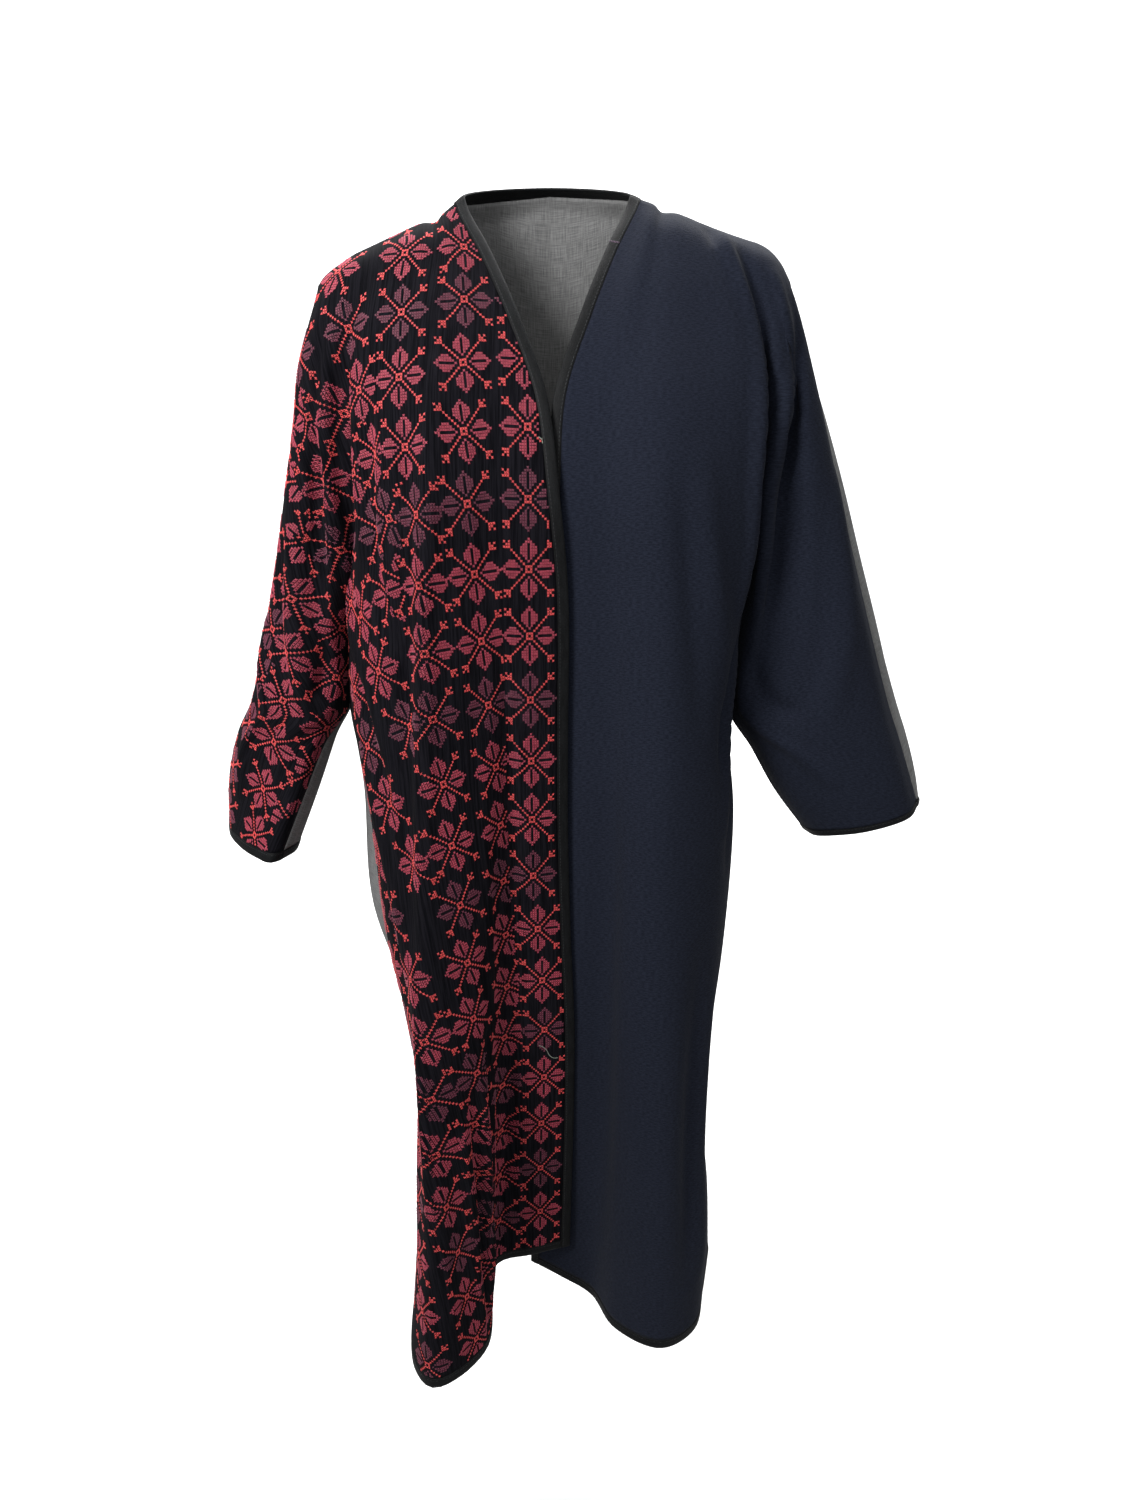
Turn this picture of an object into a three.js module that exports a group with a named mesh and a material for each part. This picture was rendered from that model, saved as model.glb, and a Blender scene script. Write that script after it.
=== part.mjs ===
// An open-fronted abaya, worn with no wearer: two fronts cut in one with their sleeves, a plain
// back cut in one with its sleeves, and a narrow binding round the neck, fronts, hem and cuffs.
// Millimetres, +Z up, fronts towards -Y. The origin is at the height where the shoulder seams
// meet the neck, midway between them.
//
// The cloth is one lofted surface. Each row of a table is a section across the garment, and each
// pair of columns is a line that runs down it: the front edge, the foot and crest of the big fold,
// the turn of the body, and so on. Lines are drawn down the rows, sections are drawn across the
// lines, and every piece is a thin wall cut out of that surface.
import * as THREE from "three";

// ---- Driving sizes ---------------------------------------------------------------------------
const CLOTH = 1.6; // thickness of fronts and back
const BINDING = 2.6; // thickness of the folded binding
const BINDING_WIDTH = 10;
const CUFF_BINDING_WIDTH = 8;
const SEAM_GAP = 0.3; // between pieces that are sewn together
const NECK_BACK_DEPTH = 52; // how far the neckline runs behind the shoulder seams
const NECK_BACK_RISE = 14; // how far it rises there
const UNDERARM = -455; // height of the underarm point
const BACK_HEM = -1122; // height of the hem at the middle of the back

// ---- How finely the cloth is divided ---------------------------------------------------------
const STEPS = { upper: 2, body: 2, sleeve: 2 }; // rows in each space between two sections
const ACROSS = { front: 13, sleeve: 8, nape: 6 }; // columns across each part

// ---- Sections --------------------------------------------------------------------------------
const table = (columns, rows) =>
  rows.map((row) => Object.fromEntries(columns.split(" ").map((name, i) => [name, row[i]])));

// x is measured outwards from the middle and y towards the back, so a front has y below 0.
// drop: height below the shoulder line. level: 0 where the section slopes with the shoulder, 1
// where it is level.
const UPPER = "drop level edgeX edgeY footX footY crestX crestY turnX turnY foldX foldY valleyX valleyY";
const UPPER_SLEEVE = "lipX lipY hollowX hollowY frontX frontY outerX outerY seamX seamY";
// share: how far down from the underarm to the hem. flank: how steep the fold's inner side is.
const LOWER = "share flank edgeX edgeY footX footY crestX crestY turnX turnY sideX sideY seamX seamY";
const HEM = "edge foot crest turn side seam";

const RIGHT = {
  side: -1,
  // The shoulder seam: distance from the middle, height.
  shoulder: table("x z", [
    [74, 0],
    [91, -14],
    [134, -31],
    [172, -47],
    [198, -63],
    [206, -73],
  ]),
  upper: table(UPPER, [
    [0, 0, 74, 0, 93, 0, 112, 0, 134, 0, 150, 0, 163, 0],
    [14, 0.03, 69, -9, 89, -22, 110, -27, 133, -28, 150, -28, 163, -27],
    [45, 0.1, 51, -31, 80, -46, 106, -50, 130, -50, 149, -49, 163, -44],
    [100, 0.35, 25, -68, 66, -78, 99, -82, 130, -78, 155, -70, 168, -52],
    [165, 0.65, 1, -101, 55, -106, 96, -112, 130, -103, 157, -84, 170, -56],
    [240, 0.9, -9, -118, 50, -121, 98, -132, 132, -118, 160, -90, 172, -54],
    [330, 1, -17, -115, 54, -122, 104, -134, 143, -114, 170, -82, 184, -42],
  ]),
  underarm: table(LOWER, [[0, 0.33, -17, -106, 60, -120, 110, -138, 156, -107, 182, -62, 198, -14]])[0],
  lower: table(LOWER, [
    [0.156, 0.3, -17, -99, 56, -116, 114, -144, 156, -104, 175, -58, 182, -14],
    [0.35, 0.27, -20, -91, 52, -108, 118, -158, 150, -106, 165, -60, 171, -20],
    [0.523, 0.25, -24, -84, 53, -102, 119, -173, 129, -126, 143, -66, 148, -16],
    [0.68, 0.2, -24, -76, 56, -96, 117, -183, 131, -138, 137, -68, 140, -12],
    [0.85, 0.15, -22, -70, 60, -92, 118, -190, 136, -156, 143, -74, 146, -10],
    [1, 0.1, -20, -66, 62, -88, 118, -196, 141, -172, 152, -78, 150, -10],
  ]),
  hem: table(HEM, [[-1068, -1076, -1130, -1131, -1124, -1120]])[0],
  upperSleeve: table(UPPER_SLEEVE, [
    [173, 0, 182, 0, 191, 0, 200, 0, 206, 0],
    [173, -27, 182, -27, 191, -25, 202, -16, 209, 0],
    [177, -44, 187, -42, 198, -39, 210, -26, 218, 0],
    [190, -55, 199, -47, 208, -46, 221, -32, 229, 1],
    [198, -60, 206, -50, 214, -51, 228, -34, 236, 3],
    [199, -64, 209, -50, 219, -54, 239, -35, 248, 5],
    [202, -62, 213, -53, 230, -57, 257, -32, 266, 8],
    [208, -42, 224, -56, 245, -60, 291, -22, 300, 12],
  ]),
  // From the underarm down to the cuff: height at the inner and at the outer edge, then the same
  // points as above, starting with the underarm seam.
  lowerSleeve: table("innerZ outerZ underX underY " + UPPER_SLEEVE, [
    [-490, -497, 221, -33, 230, -52, 248, -54, 267, -48, 308, -14, 322, 22],
    [-535, -548, 240, -49, 249, -63, 267, -55, 287, -40, 322, -8, 338, 30],
    [-602, -602, 267, -65, 275, -72, 291, -59, 309, -39, 332, -2, 344, 35],
  ]),
};

const LEFT = {
  side: 1,
  shoulder: table("x z", [
    [71, 0],
    [111, -14],
    [156, -30],
    [186, -39],
    [202, -48],
    [215, -70],
  ]),
  upper: table(UPPER, [
    [0, 0, 71, 0, 92, 0, 112, 0, 134, 0, 150, 0, 163, 0],
    [14, 0.03, 66, -9, 88, -22, 110, -27, 133, -28, 150, -28, 163, -27],
    [45, 0.1, 50, -31, 80, -46, 106, -50, 132, -50, 153, -48, 168, -43],
    [100, 0.35, 27, -66, 66, -76, 99, -80, 134, -74, 168, -66, 178, -50],
    [165, 0.65, 5, -96, 55, -102, 96, -110, 133, -101, 177, -79, 186, -53],
    [240, 0.9, 0, -110, 50, -116, 97, -131, 132, -118, 179, -84, 187, -50],
    [330, 1, -4, -106, 54, -115, 102, -134, 147, -114, 177, -80, 184, -40],
  ]),
  underarm: table(LOWER, [[0, 0.33, -6, -96, 58, -110, 105, -134, 149, -108, 167, -62, 174, -10]])[0],
  lower: table(LOWER, [
    [0.156, 0.33, -8, -88, 56, -103, 108, -135, 157, -105, 178, -58, 185, -8],
    [0.35, 0.33, -11, -79, 54, -94, 112, -136, 157, -104, 175, -58, 180, -8],
    [0.523, 0.33, -14, -71, 52, -85, 115, -137, 151, -105, 165, -60, 168, -8],
    [0.68, 0.33, -18, -62, 50, -76, 117, -136, 149, -107, 163, -61, 166, -8],
    [0.85, 0.33, -21, -50, 47, -68, 118, -134, 156, -109, 171, -62, 178, -8],
    [1, 0.33, -24, -43, 45, -64, 118, -132, 156, -109, 170, -62, 183, -8],
  ]),
  hem: table(HEM, [[-1110, -1138, -1145, -1143, -1138, -1130]])[0],
  upperSleeve: table(UPPER_SLEEVE, [
    [175, 0, 186, 0, 196, 0, 206, 0, 215, 0],
    [175, -27, 186, -27, 197, -25, 209, -16, 218, 0],
    [184, -45, 192, -41, 203, -39, 218, -27, 227, 0],
    [197, -57, 204, -46, 213, -49, 230, -33, 239, 0],
    [203, -62, 210, -48, 222, -54, 243, -38, 253, -1],
    [200, -65, 210, -48, 234, -58, 259, -41, 270, -5],
    [196, -62, 208, -50, 250, -60, 282, -42, 294, -10],
    [192, -46, 210, -54, 264, -62, 316, -45, 333, -14],
  ]),
  lowerSleeve: table("innerZ outerZ underX underY " + UPPER_SLEEVE, [
    [-504, -492, 203, -9, 212, -38, 229, -52, 276, -62, 329, -47, 347, -16],
    [-547, -528, 228, -9, 236, -36, 252, -50, 290, -60, 342, -47, 360, -17],
    [-592, -562, 262, -8, 268, -33, 281, -47, 312, -56, 355, -44, 372, -18],
  ]),
};

// The back, from the middle outwards. In the upper sections every height follows the fronts'.
const BACK_UPPER = table("middleY napeY bladeX bladeY sideX sideY valleyX valleyY", [
  [52, 0, 110, 0, 137, 0, 163, 0],
  [62, 36, 110, 25, 137, 25, 163, 24],
  [73, 62, 112, 50, 140, 47, 167, 42],
  [85, 82, 114, 76, 148, 68, 179, 54],
  [92, 91, 116, 87, 154, 77, 187, 60],
  [95, 95, 118, 91, 158, 80, 191, 59],
  [95, 95, 120, 92, 162, 78, 193, 46],
]);
const BACK_LOWER = table("middleY napeY bladeY sideY rightX leftX", [
  [95, 94, 92, 66, 196, 172],
  [95, 95, 93, 67, 194, 181],
  [96, 96, 95, 70, 193, 176],
  [98, 98, 97, 72, 160, 164],
  [101, 100, 98, 74, 143, 162],
  [104, 102, 99, 75, 149, 176],
  [106, 104, 100, 76, 153, 181],
]);
const BACK_SLEEVE = table("innerX innerY middleX middleY outerX outerY", [
  [174, 0, 188, 0, 202, 0],
  [176, 24, 190, 22, 205, 14],
  [181, 42, 198, 37, 213, 24],
  [193, 52, 209, 46, 225, 30],
  [201, 57, 219, 50, 238, 32],
  [206, 57, 231, 52, 251, 33],
  [212, 52, 243, 54, 271, 34],
]);
const RIGHT_BACK_SLEEVE = table("innerX innerY middleX middleY outerX outerY", [
  [203, 28, 243, 60, 286, 50],
  [216, -2, 250, 54, 300, 56],
  [232, -18, 264, 44, 311, 60],
  [257, -36, 284, 22, 322, 54],
]);
const LEFT_BACK_SLEEVE = table("innerX innerY middleX middleY outerX outerY", [
  [200, 38, 262, 58, 325, 32],
  [216, 34, 276, 54, 341, 28],
  [240, 31, 292, 49, 356, 25],
  [271, 28, 318, 44, 369, 21],
]);

// Folds of the back: where each runs at the underarm and at the hem, how far it stands out at the
// hem, and its half-width there. A fold with a height below 0 is a hollow.
const BACK_FOLDS = table("topX hemX height width", [
  [-118, -128, 15, 22],
  [-86, -92, -12, 20],
  [-48, -55, 17, 24],
  [-4, -12, -11, 24],
  [38, 40, 18, 25],
  [80, 86, -12, 20],
  [118, 132, 16, 22],
]);

// ---- Worked-out points -----------------------------------------------------------------------
// Shares of the way from one point of a section to the next, sideways and forwards.
const EDGE_TO_FOOT = { across: 0.5, forward: 0.42 };
const FOOT_TO_CREST = { across: 0.33, forward: 0.6 };
// Where the points of a lower sleeve lie between its inner and its outer edge.
const SLEEVE_FRONT_SHARES = [0, 0.12, 0.3, 0.55, 0.85, 1];
const SLEEVE_BACK_SHARES = { inner: 0.15, middle: 0.5, outer: 0.85 };
// How much the back of an upper sleeve follows the front's lines.
const MIDDLE_FOLLOWS = 0.4;
const OUTER_FOLLOWS = 0.7;
// Where lines of the back start on the shoulder seam.
const BLADE_TOP = 112;
const BACK_SIDE_TOP = 137;
const VALLEY_TOP = 163;
// Lower down, the blade's line starts here and moves to a share of the way to the side seam.
const BLADE_UNDERARM = 120;
const BLADE_SHARE = 0.72;
const SIDE_DEPTH_SHARE = 0.45;
// How much of an offset from the back of the neck counts along Y and along Z.
const NECK_OFFSET = { back: 0.9, drop: 0.5 };
// The back's folds start this far above the underarm and are whole after this length.
const FOLDS_START = 190;
const FOLDS_LENGTH = 850;
// Any slanted direction: it settles along which diagonal both sides of a seam are cut.
const SEAM_DIRECTION = new THREE.Vector3(7, 11, 13);

// ---- Lofting ---------------------------------------------------------------------------------
const V3 = (x, y, z) => new THREE.Vector3(x, y, z);
const mix = THREE.MathUtils.lerp;
const curve = (points) => new THREE.CatmullRomCurve3(points, false, "centripetal");

// Height of the shoulder seam at a distance from the middle.
function shoulderLine(half, x) {
  const rows = half.shoulder;
  const next = Math.max(1, rows.findIndex((row) => row.x >= x));
  const [a, b] = x >= rows.at(-1).x ? rows.slice(-2) : [rows[next - 1], rows[next]];
  return mix(a.z, b.z, THREE.MathUtils.clamp((x - a.x) / (b.x - a.x), 0, 1));
}

// Height of a point in an upper section, on the line that starts at x on the shoulder seam: the
// section follows the shoulder at the top and is level lower down.
const upperHeight = (half, row, x) =>
  row === undefined ? UNDERARM : -row.drop + shoulderLine(half, x) * (1 - row.level);

// The points of one section of a front, from its edge to its side, before they are placed left or
// right. Two more are worked out: one midway to the foot of the fold, one on the fold's flank.
function bodyPoints(row, heights, last) {
  const flank = row.flank ?? FOOT_TO_CREST.across;
  const [edgeZ, footZ, crestZ, turnZ, sideZ, seamZ] = heights;
  const [sideX, sideY] = row.sideX === undefined ? [row.foldX, row.foldY] : [row.sideX, row.sideY];
  const beforeFoot = V3(
    mix(row.edgeX, row.footX, EDGE_TO_FOOT.across),
    mix(row.edgeY, row.footY, EDGE_TO_FOOT.forward),
    (edgeZ + footZ) / 2,
  );
  const onFlank = V3(
    mix(row.footX, row.crestX, flank),
    mix(row.footY, row.crestY, FOOT_TO_CREST.forward),
    (footZ + crestZ) / 2,
  );
  return [
    V3(row.edgeX, row.edgeY, edgeZ),
    beforeFoot,
    V3(row.footX, row.footY, footZ),
    onFlank,
    V3(row.crestX, row.crestY, crestZ),
    V3(row.turnX, row.turnY, turnZ),
    V3(sideX, sideY, sideZ),
    V3(last[0], last[1], seamZ),
  ];
}

const sleevePoints = (first, row, heights) => [
  V3(first[0], first[1], heights[0]),
  V3(row.lipX, row.lipY, heights[1]),
  V3(row.hollowX, row.hollowY, heights[2]),
  V3(row.frontX, row.frontY, heights[3]),
  V3(row.outerX, row.outerY, heights[4]),
  V3(row.seamX, row.seamY, heights[5]),
];

// Mirrors outward x to the wearer's own side.
const place = (half, points) => points.map((p) => V3(p.x * half.side, p.y, p.z));

// Lines down a table of sections, and the section at any place between two rows.
function loft(sections) {
  const lines = sections[0].map((_, i) => curve(sections.map((s) => s[i])));
  return (t) => lines.map((line) => line.getPoint(t / (sections.length - 1)));
}

// Points along a section at the given distances from its start, or spread evenly.
function spread(points, count, firstStep = 0) {
  const section = curve(points);
  const length = section.getLength();
  const start = firstStep / length;
  const shares = firstStep ? [0] : [];
  for (let i = 0; i <= count; i += 1) shares.push(mix(start, 1, i / count));
  return shares.map((share) => section.getPointAt(share));
}

// The rows of a patch: each space between two sections is divided evenly, and the last one also
// has a row where the binding starts.
function rowPlaces(from, to, steps, binding = 0) {
  const places = [];
  for (let i = 0; i <= (to - from) * steps; i += 1) places.push(from + i / steps);
  if (binding) places.splice(-1, 0, to - binding);
  return places;
}

// ---- The two fronts --------------------------------------------------------------------------
function sleeveTops(half) {
  const top = half.upperSleeve[0];
  return [half.upper[0].valleyX, top.lipX, top.hollowX, top.frontX, top.outerX, top.seamX];
}

function frontSections(half) {
  const top = half.upper[0];
  const bodyTops = [top.edgeX, top.footX, top.crestX, top.turnX, top.foldX, top.valleyX];
  const bodyRows = half.upper.map((row) => {
    const heights = bodyTops.map((x) => upperHeight(half, row, x));
    return place(half, bodyPoints(row, heights, [row.valleyX, row.valleyY]));
  });
  const level = new Array(6).fill(UNDERARM);
  const underarm = half.underarm;
  bodyRows.push(place(half, bodyPoints(underarm, level, [underarm.seamX, underarm.seamY])));
  for (const row of half.lower) {
    const heights = HEM.split(" ").map((name) => mix(UNDERARM, half.hem[name], row.share));
    bodyRows.push(place(half, bodyPoints(row, heights, [row.seamX, row.seamY])));
  }
  const sleeveRows = half.upperSleeve.map((row, r) => {
    const above = half.upper[r];
    const heights = sleeveTops(half).map((x) => upperHeight(half, above, x));
    const first = above ? [above.valleyX, above.valleyY] : [underarm.seamX, underarm.seamY];
    return place(half, sleevePoints(first, row, heights));
  });
  for (const row of half.lowerSleeve) {
    const heights = SLEEVE_FRONT_SHARES.map((share) => mix(row.innerZ, row.outerZ, share));
    sleeveRows.push(place(half, sleevePoints([row.underX, row.underY], row, heights)));
  }
  return { body: loft(bodyRows), sleeve: loft(sleeveRows) };
}

const UNDERARM_ROW = 7;
const HEM_ROW = 13;
const CUFF_ROW = 10;
const HEM_SPACE = 95; // between the last two sections of the body, for the binding's own row
const CUFF_SPACE = 58;

function frontGrids(half) {
  const sections = frontSections(half);
  const bodyAt = (t) => spread(sections.body(t), ACROSS.front, BINDING_WIDTH);
  const sleeveAt = (t) => spread(sections.sleeve(t), ACROSS.sleeve);
  const upper = rowPlaces(0, UNDERARM_ROW, STEPS.upper).map(bodyAt);
  return {
    upper,
    lower: rowPlaces(UNDERARM_ROW, HEM_ROW, STEPS.body, BINDING_WIDTH / HEM_SPACE).map(bodyAt),
    shoulder: rowPlaces(0, UNDERARM_ROW, STEPS.upper).map((t, r) => [
      upper[r].at(-1).clone(),
      ...sleeveAt(t).slice(1),
    ]),
    sleeve: rowPlaces(UNDERARM_ROW, CUFF_ROW, STEPS.sleeve, CUFF_BINDING_WIDTH / CUFF_SPACE).map(
      sleeveAt,
    ),
  };
}

// ---- The back --------------------------------------------------------------------------------
// The neckline behind the neck, at a distance outside the neck's own edge.
function neckline(half, count, offset) {
  const neckX = half.shoulder[0].x + offset;
  const points = [];
  for (let i = 0; i <= count; i += 1) {
    const angle = (Math.PI / 2) * (i / count);
    const y = (NECK_BACK_DEPTH + offset * NECK_OFFSET.back) * Math.cos(angle);
    const rise = (NECK_BACK_RISE - offset * NECK_OFFSET.drop) * Math.cos(angle);
    points.push(V3(neckX * Math.sin(angle), y, rise + shoulderLine(half, neckX) * Math.sin(angle)));
  }
  return place(half, points);
}

function backBodySections(half) {
  const napeX = half.shoulder[0].x + BINDING_WIDTH;
  const rows = BACK_UPPER.map((row, r) => {
    const front = half.upper[r];
    const z = (x) => upperHeight(half, front, x);
    return [
      V3(0, row.middleY, NECK_BACK_RISE * (1 - front.level) - front.drop),
      V3(napeX, row.napeY, z(napeX)),
      V3(row.bladeX, row.bladeY, z(BLADE_TOP)),
      V3(row.sideX, row.sideY, z(BACK_SIDE_TOP)),
      V3(row.valleyX, row.valleyY, z(VALLEY_TOP)),
    ];
  });
  [half.underarm, ...half.lower].forEach((front, r) => {
    const row = BACK_LOWER[r];
    const bladeX = mix(BLADE_UNDERARM, BLADE_SHARE * front.seamX, Math.min(1, r / 2));
    const points = [
      V3(0, row.middleY, 0),
      V3(napeX, row.napeY, 0),
      V3(bladeX, row.bladeY, 0),
      V3(half.side < 0 ? row.rightX : row.leftX, row.sideY * SIDE_DEPTH_SHARE, 0),
      V3(front.seamX, front.seamY, 0),
    ];
    const hemAt = (i) => mix(BACK_HEM, half.hem.seam, i / (points.length - 1));
    rows.push(points.map((p, i) => p.setZ(mix(UNDERARM, hemAt(i), front.share))));
  });
  return loft(rows.map((points) => place(half, points)));
}

function backSleeveSections(half, lower) {
  const rows = BACK_SLEEVE.map((row, r) => {
    const front = half.upper[r];
    const under = BACK_UPPER[r];
    const seam = half.upperSleeve[r];
    const tops = sleeveTops(half);
    const z = (i) => upperHeight(half, front, tops[i]);
    return [
      V3(under.valleyX, under.valleyY, z(0)),
      V3(row.innerX, row.innerY, z(1)),
      V3(mix(row.middleX, seam.frontX, MIDDLE_FOLLOWS), row.middleY, z(3)),
      V3(mix(row.outerX, seam.outerX, OUTER_FOLLOWS), row.outerY, z(4)),
      V3(seam.seamX, seam.seamY, z(5)),
    ];
  });
  const fronts = [half.upperSleeve[UNDERARM_ROW], ...half.lowerSleeve];
  lower.forEach((row, r) => {
    const seam = fronts[r];
    const inner = seam.innerZ ?? UNDERARM;
    const outer = seam.outerZ ?? UNDERARM;
    rows.push([
      V3(seam.underX ?? half.underarm.seamX, seam.underY ?? half.underarm.seamY, inner),
      V3(row.innerX, row.innerY, mix(inner, outer, SLEEVE_BACK_SHARES.inner)),
      V3(row.middleX, row.middleY, mix(inner, outer, SLEEVE_BACK_SHARES.middle)),
      V3(row.outerX, row.outerY, mix(inner, outer, SLEEVE_BACK_SHARES.outer)),
      V3(seam.seamX, seam.seamY, outer),
    ]);
  });
  return loft(rows.map((points) => place(half, points)));
}

// Moves a point of the back out along Y where a fold runs.
function foldBack(point) {
  const down = THREE.MathUtils.clamp((UNDERARM + FOLDS_START - point.z) / FOLDS_LENGTH, 0, 1);
  for (const fold of BACK_FOLDS) {
    const away = (point.x - mix(fold.topX, fold.hemX, down)) / fold.width;
    point.y += fold.height * down * Math.exp(-away * away);
  }
  return point;
}

// One row of one half of the back, from the middle to its side.
function backRow(section, seam) {
  const inner = curve(section);
  const spaces = section.length - 1;
  const row = [];
  for (let i = 0; i <= ACROSS.nape; i += 1) row.push(inner.getPoint(i / ACROSS.nape / spaces));
  const outerPart = curve([row[ACROSS.nape], ...section.slice(2)]);
  for (let i = 1; i <= ACROSS.front; i += 1) row.push(outerPart.getPointAt(i / ACROSS.front));
  const folded = row.map((p, i) => (i < row.length - 1 ? foldBack(p) : p));
  if (seam) folded[folded.length - 1] = seam.clone();
  return folded;
}

function backGrids(half, front, lowerSleeve) {
  const body = backBodySections(half);
  const sleeve = backSleeveSections(half, lowerSleeve);
  const last = (row) => row[row.length - 1];
  const upper = rowPlaces(0, UNDERARM_ROW, STEPS.upper).map((t, r, all) =>
    backRow(body(t), r === all.length - 1 ? last(front.upper[r]) : undefined),
  );
  const nape = neckline(half, ACROSS.nape, BINDING_WIDTH);
  upper[0] = [...nape.slice(0, -1), ...front.upper[0].slice(1).map((p) => p.clone())];
  const lower = rowPlaces(UNDERARM_ROW, HEM_ROW, STEPS.body, BINDING_WIDTH / HEM_SPACE).map((t, r) =>
    backRow(body(t), last(front.lower[r])),
  );
  const ends = (row, seamRow, under) => {
    row[0] = under.clone();
    row[row.length - 1] = last(seamRow).clone();
    return row;
  };
  const shoulder = rowPlaces(0, UNDERARM_ROW, STEPS.upper).map((t, r) =>
    ends(spread(sleeve(t), ACROSS.sleeve), front.shoulder[r], last(upper[r])),
  );
  shoulder[0] = front.shoulder[0].map((p) => p.clone());
  const cuffRows = rowPlaces(UNDERARM_ROW, CUFF_ROW, STEPS.sleeve, CUFF_BINDING_WIDTH / CUFF_SPACE);
  const sleeveGrid = cuffRows.map((t, r) =>
    ends(spread(sleeve(t), ACROSS.sleeve), front.sleeve[r], front.sleeve[r][0]),
  );
  const neck = [neckline(half, ACROSS.nape, 0), nape];
  neck[1][ACROSS.nape] = front.upper[0][1].clone();
  return { upper, lower, shoulder, sleeve: sleeveGrid, neck };
}

// ---- Cells and walls -------------------------------------------------------------------------
// The quadrilaterals of a grid of points between two rows and two columns, facing out.
function cells(grid, flip, rows = [0, grid.length - 1], columns = [0, grid[0].length - 1]) {
  const [row0, row1] = rows;
  const [col0, col1] = columns;
  const out = [];
  for (let r = row0; r < row1; r += 1) {
    for (let c = col0; c < col1; c += 1) {
      const cell = [grid[r][c], grid[r + 1][c], grid[r + 1][c + 1], grid[r][c + 1]];
      out.push(flip ? cell.reverse() : cell);
    }
  }
  return out;
}

const keyOf = (p) => [p.x, p.y, p.z].map((value) => Math.round(value * 200)).join(",");

// One outward direction for each point of the cloth, shared by all pieces that meet there.
function outwardDirections(allCells, fixed) {
  const normals = new Map();
  for (const cell of allCells) {
    const across = cell[2].clone().sub(cell[0]);
    const normal = across.cross(cell[3].clone().sub(cell[1]));
    for (const p of cell) {
      const key = keyOf(p);
      if (!normals.has(key)) normals.set(key, V3(0, 0, 0));
      normals.get(key).add(normal);
    }
  }
  for (const normal of normals.values()) normal.normalize();
  for (const [point, direction] of fixed) normals.set(keyOf(point), direction);
  return normals;
}

// A closed wall round the middle surface of a piece, drawn back at its edges by half a seam's gap.
function wall(pieceCells, thickness, normals) {
  const index = new Map();
  const points = [];
  const quads = pieceCells.map((cell) =>
    cell.map((p) => {
      const key = keyOf(p);
      if (!index.has(key)) {
        index.set(key, points.length);
        points.push({ at: p, normal: normals.get(key), inward: V3(0, 0, 0), beside: [] });
      }
      return index.get(key);
    }),
  );
  const edges = new Map();
  for (const quad of quads) {
    const middle = quad.reduce((sum, i) => sum.add(points[i].at), V3(0, 0, 0)).multiplyScalar(0.25);
    quad.forEach((a, i) => {
      const b = quad[(i + 1) % 4];
      if (a === b) return;
      points[a].inward.add(middle.clone().sub(points[a].at));
      const twin = `${b},${a}`;
      if (edges.has(twin)) edges.delete(twin);
      else edges.set(`${a},${b}`, [a, b]);
    });
  }
  for (const [a, b] of edges.values()) {
    points[a].beside.push(points[b].at);
    points[b].beside.push(points[a].at);
  }
  const shift = (point) => {
    if (!point.beside.length) return point.at.clone();
    const inward = point.inward.clone();
    inward.addScaledVector(point.normal, -inward.dot(point.normal));
    if (point.beside.length === 2) {
      const along = point.beside[1].clone().sub(point.beside[0]).normalize();
      inward.addScaledVector(along, -inward.dot(along));
    }
    return point.at.clone().addScaledVector(inward.normalize(), SEAM_GAP / 2);
  };
  const placed = points.map(shift);
  const outer = placed.map((p, i) => p.clone().addScaledVector(points[i].normal, thickness / 2));
  const inner = placed.map((p, i) => p.clone().addScaledVector(points[i].normal, -thickness / 2));
  const all = [...outer, ...inner];
  const count = points.length;
  const triangles = [];
  for (const quad of quads) {
    for (const [a, b, c] of split(quad, placed)) {
      triangles.push([a, b, c], [c + count, b + count, a + count]);
    }
  }
  // The two sides of a seam are cut along the same diagonals, so that they stay parallel.
  for (const [a, b] of edges.values()) {
    if (points[a].at.dot(SEAM_DIRECTION) < points[b].at.dot(SEAM_DIRECTION)) {
      triangles.push([b, a, a + count], [b, a + count, b + count]);
    } else {
      triangles.push([b, a, b + count], [a, a + count, b + count]);
    }
  }
  const geometry = new THREE.BufferGeometry().setFromPoints(all);
  geometry.setIndex(triangles.flat());
  geometry.computeVertexNormals();
  return geometry;
}

// A quadrilateral as two triangles, cut along its shorter diagonal. Where two of its corners are
// one point, it is a triangle already.
function split(quad, placed) {
  const corners = quad.filter((v, i) => v !== quad[(i + 1) % 4]);
  if (corners.length === 3) return [corners];
  const [a, b, c, d] = corners;
  return placed[a].distanceTo(placed[c]) <= placed[b].distanceTo(placed[d])
    ? [[a, b, c], [a, c, d]]
    : [[b, c, d], [b, d, a]];
}

// ---- Pieces ----------------------------------------------------------------------------------
const MATERIALS = {
  embroidered: { color: 0x15141a, roughness: 0.9 },
  navy: { color: 0x1c212e, roughness: 0.85 },
  grey: { color: 0x77746f, roughness: 0.9 },
  binding: { color: 0x14181a, roughness: 0.7 },
};

const rightFront = frontGrids(RIGHT);
const leftFront = frontGrids(LEFT);
const rightBack = backGrids(RIGHT, rightFront, RIGHT_BACK_SLEEVE);
const leftBack = backGrids(LEFT, leftFront, LEFT_BACK_SLEEVE);

const BOUND = ACROSS.front + 1; // last column of a front's body, the first being the binding
const hemRow = leftFront.lower.length - 2; // where the hem's binding starts
const cuffRow = leftFront.sleeve.length - 2;

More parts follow.
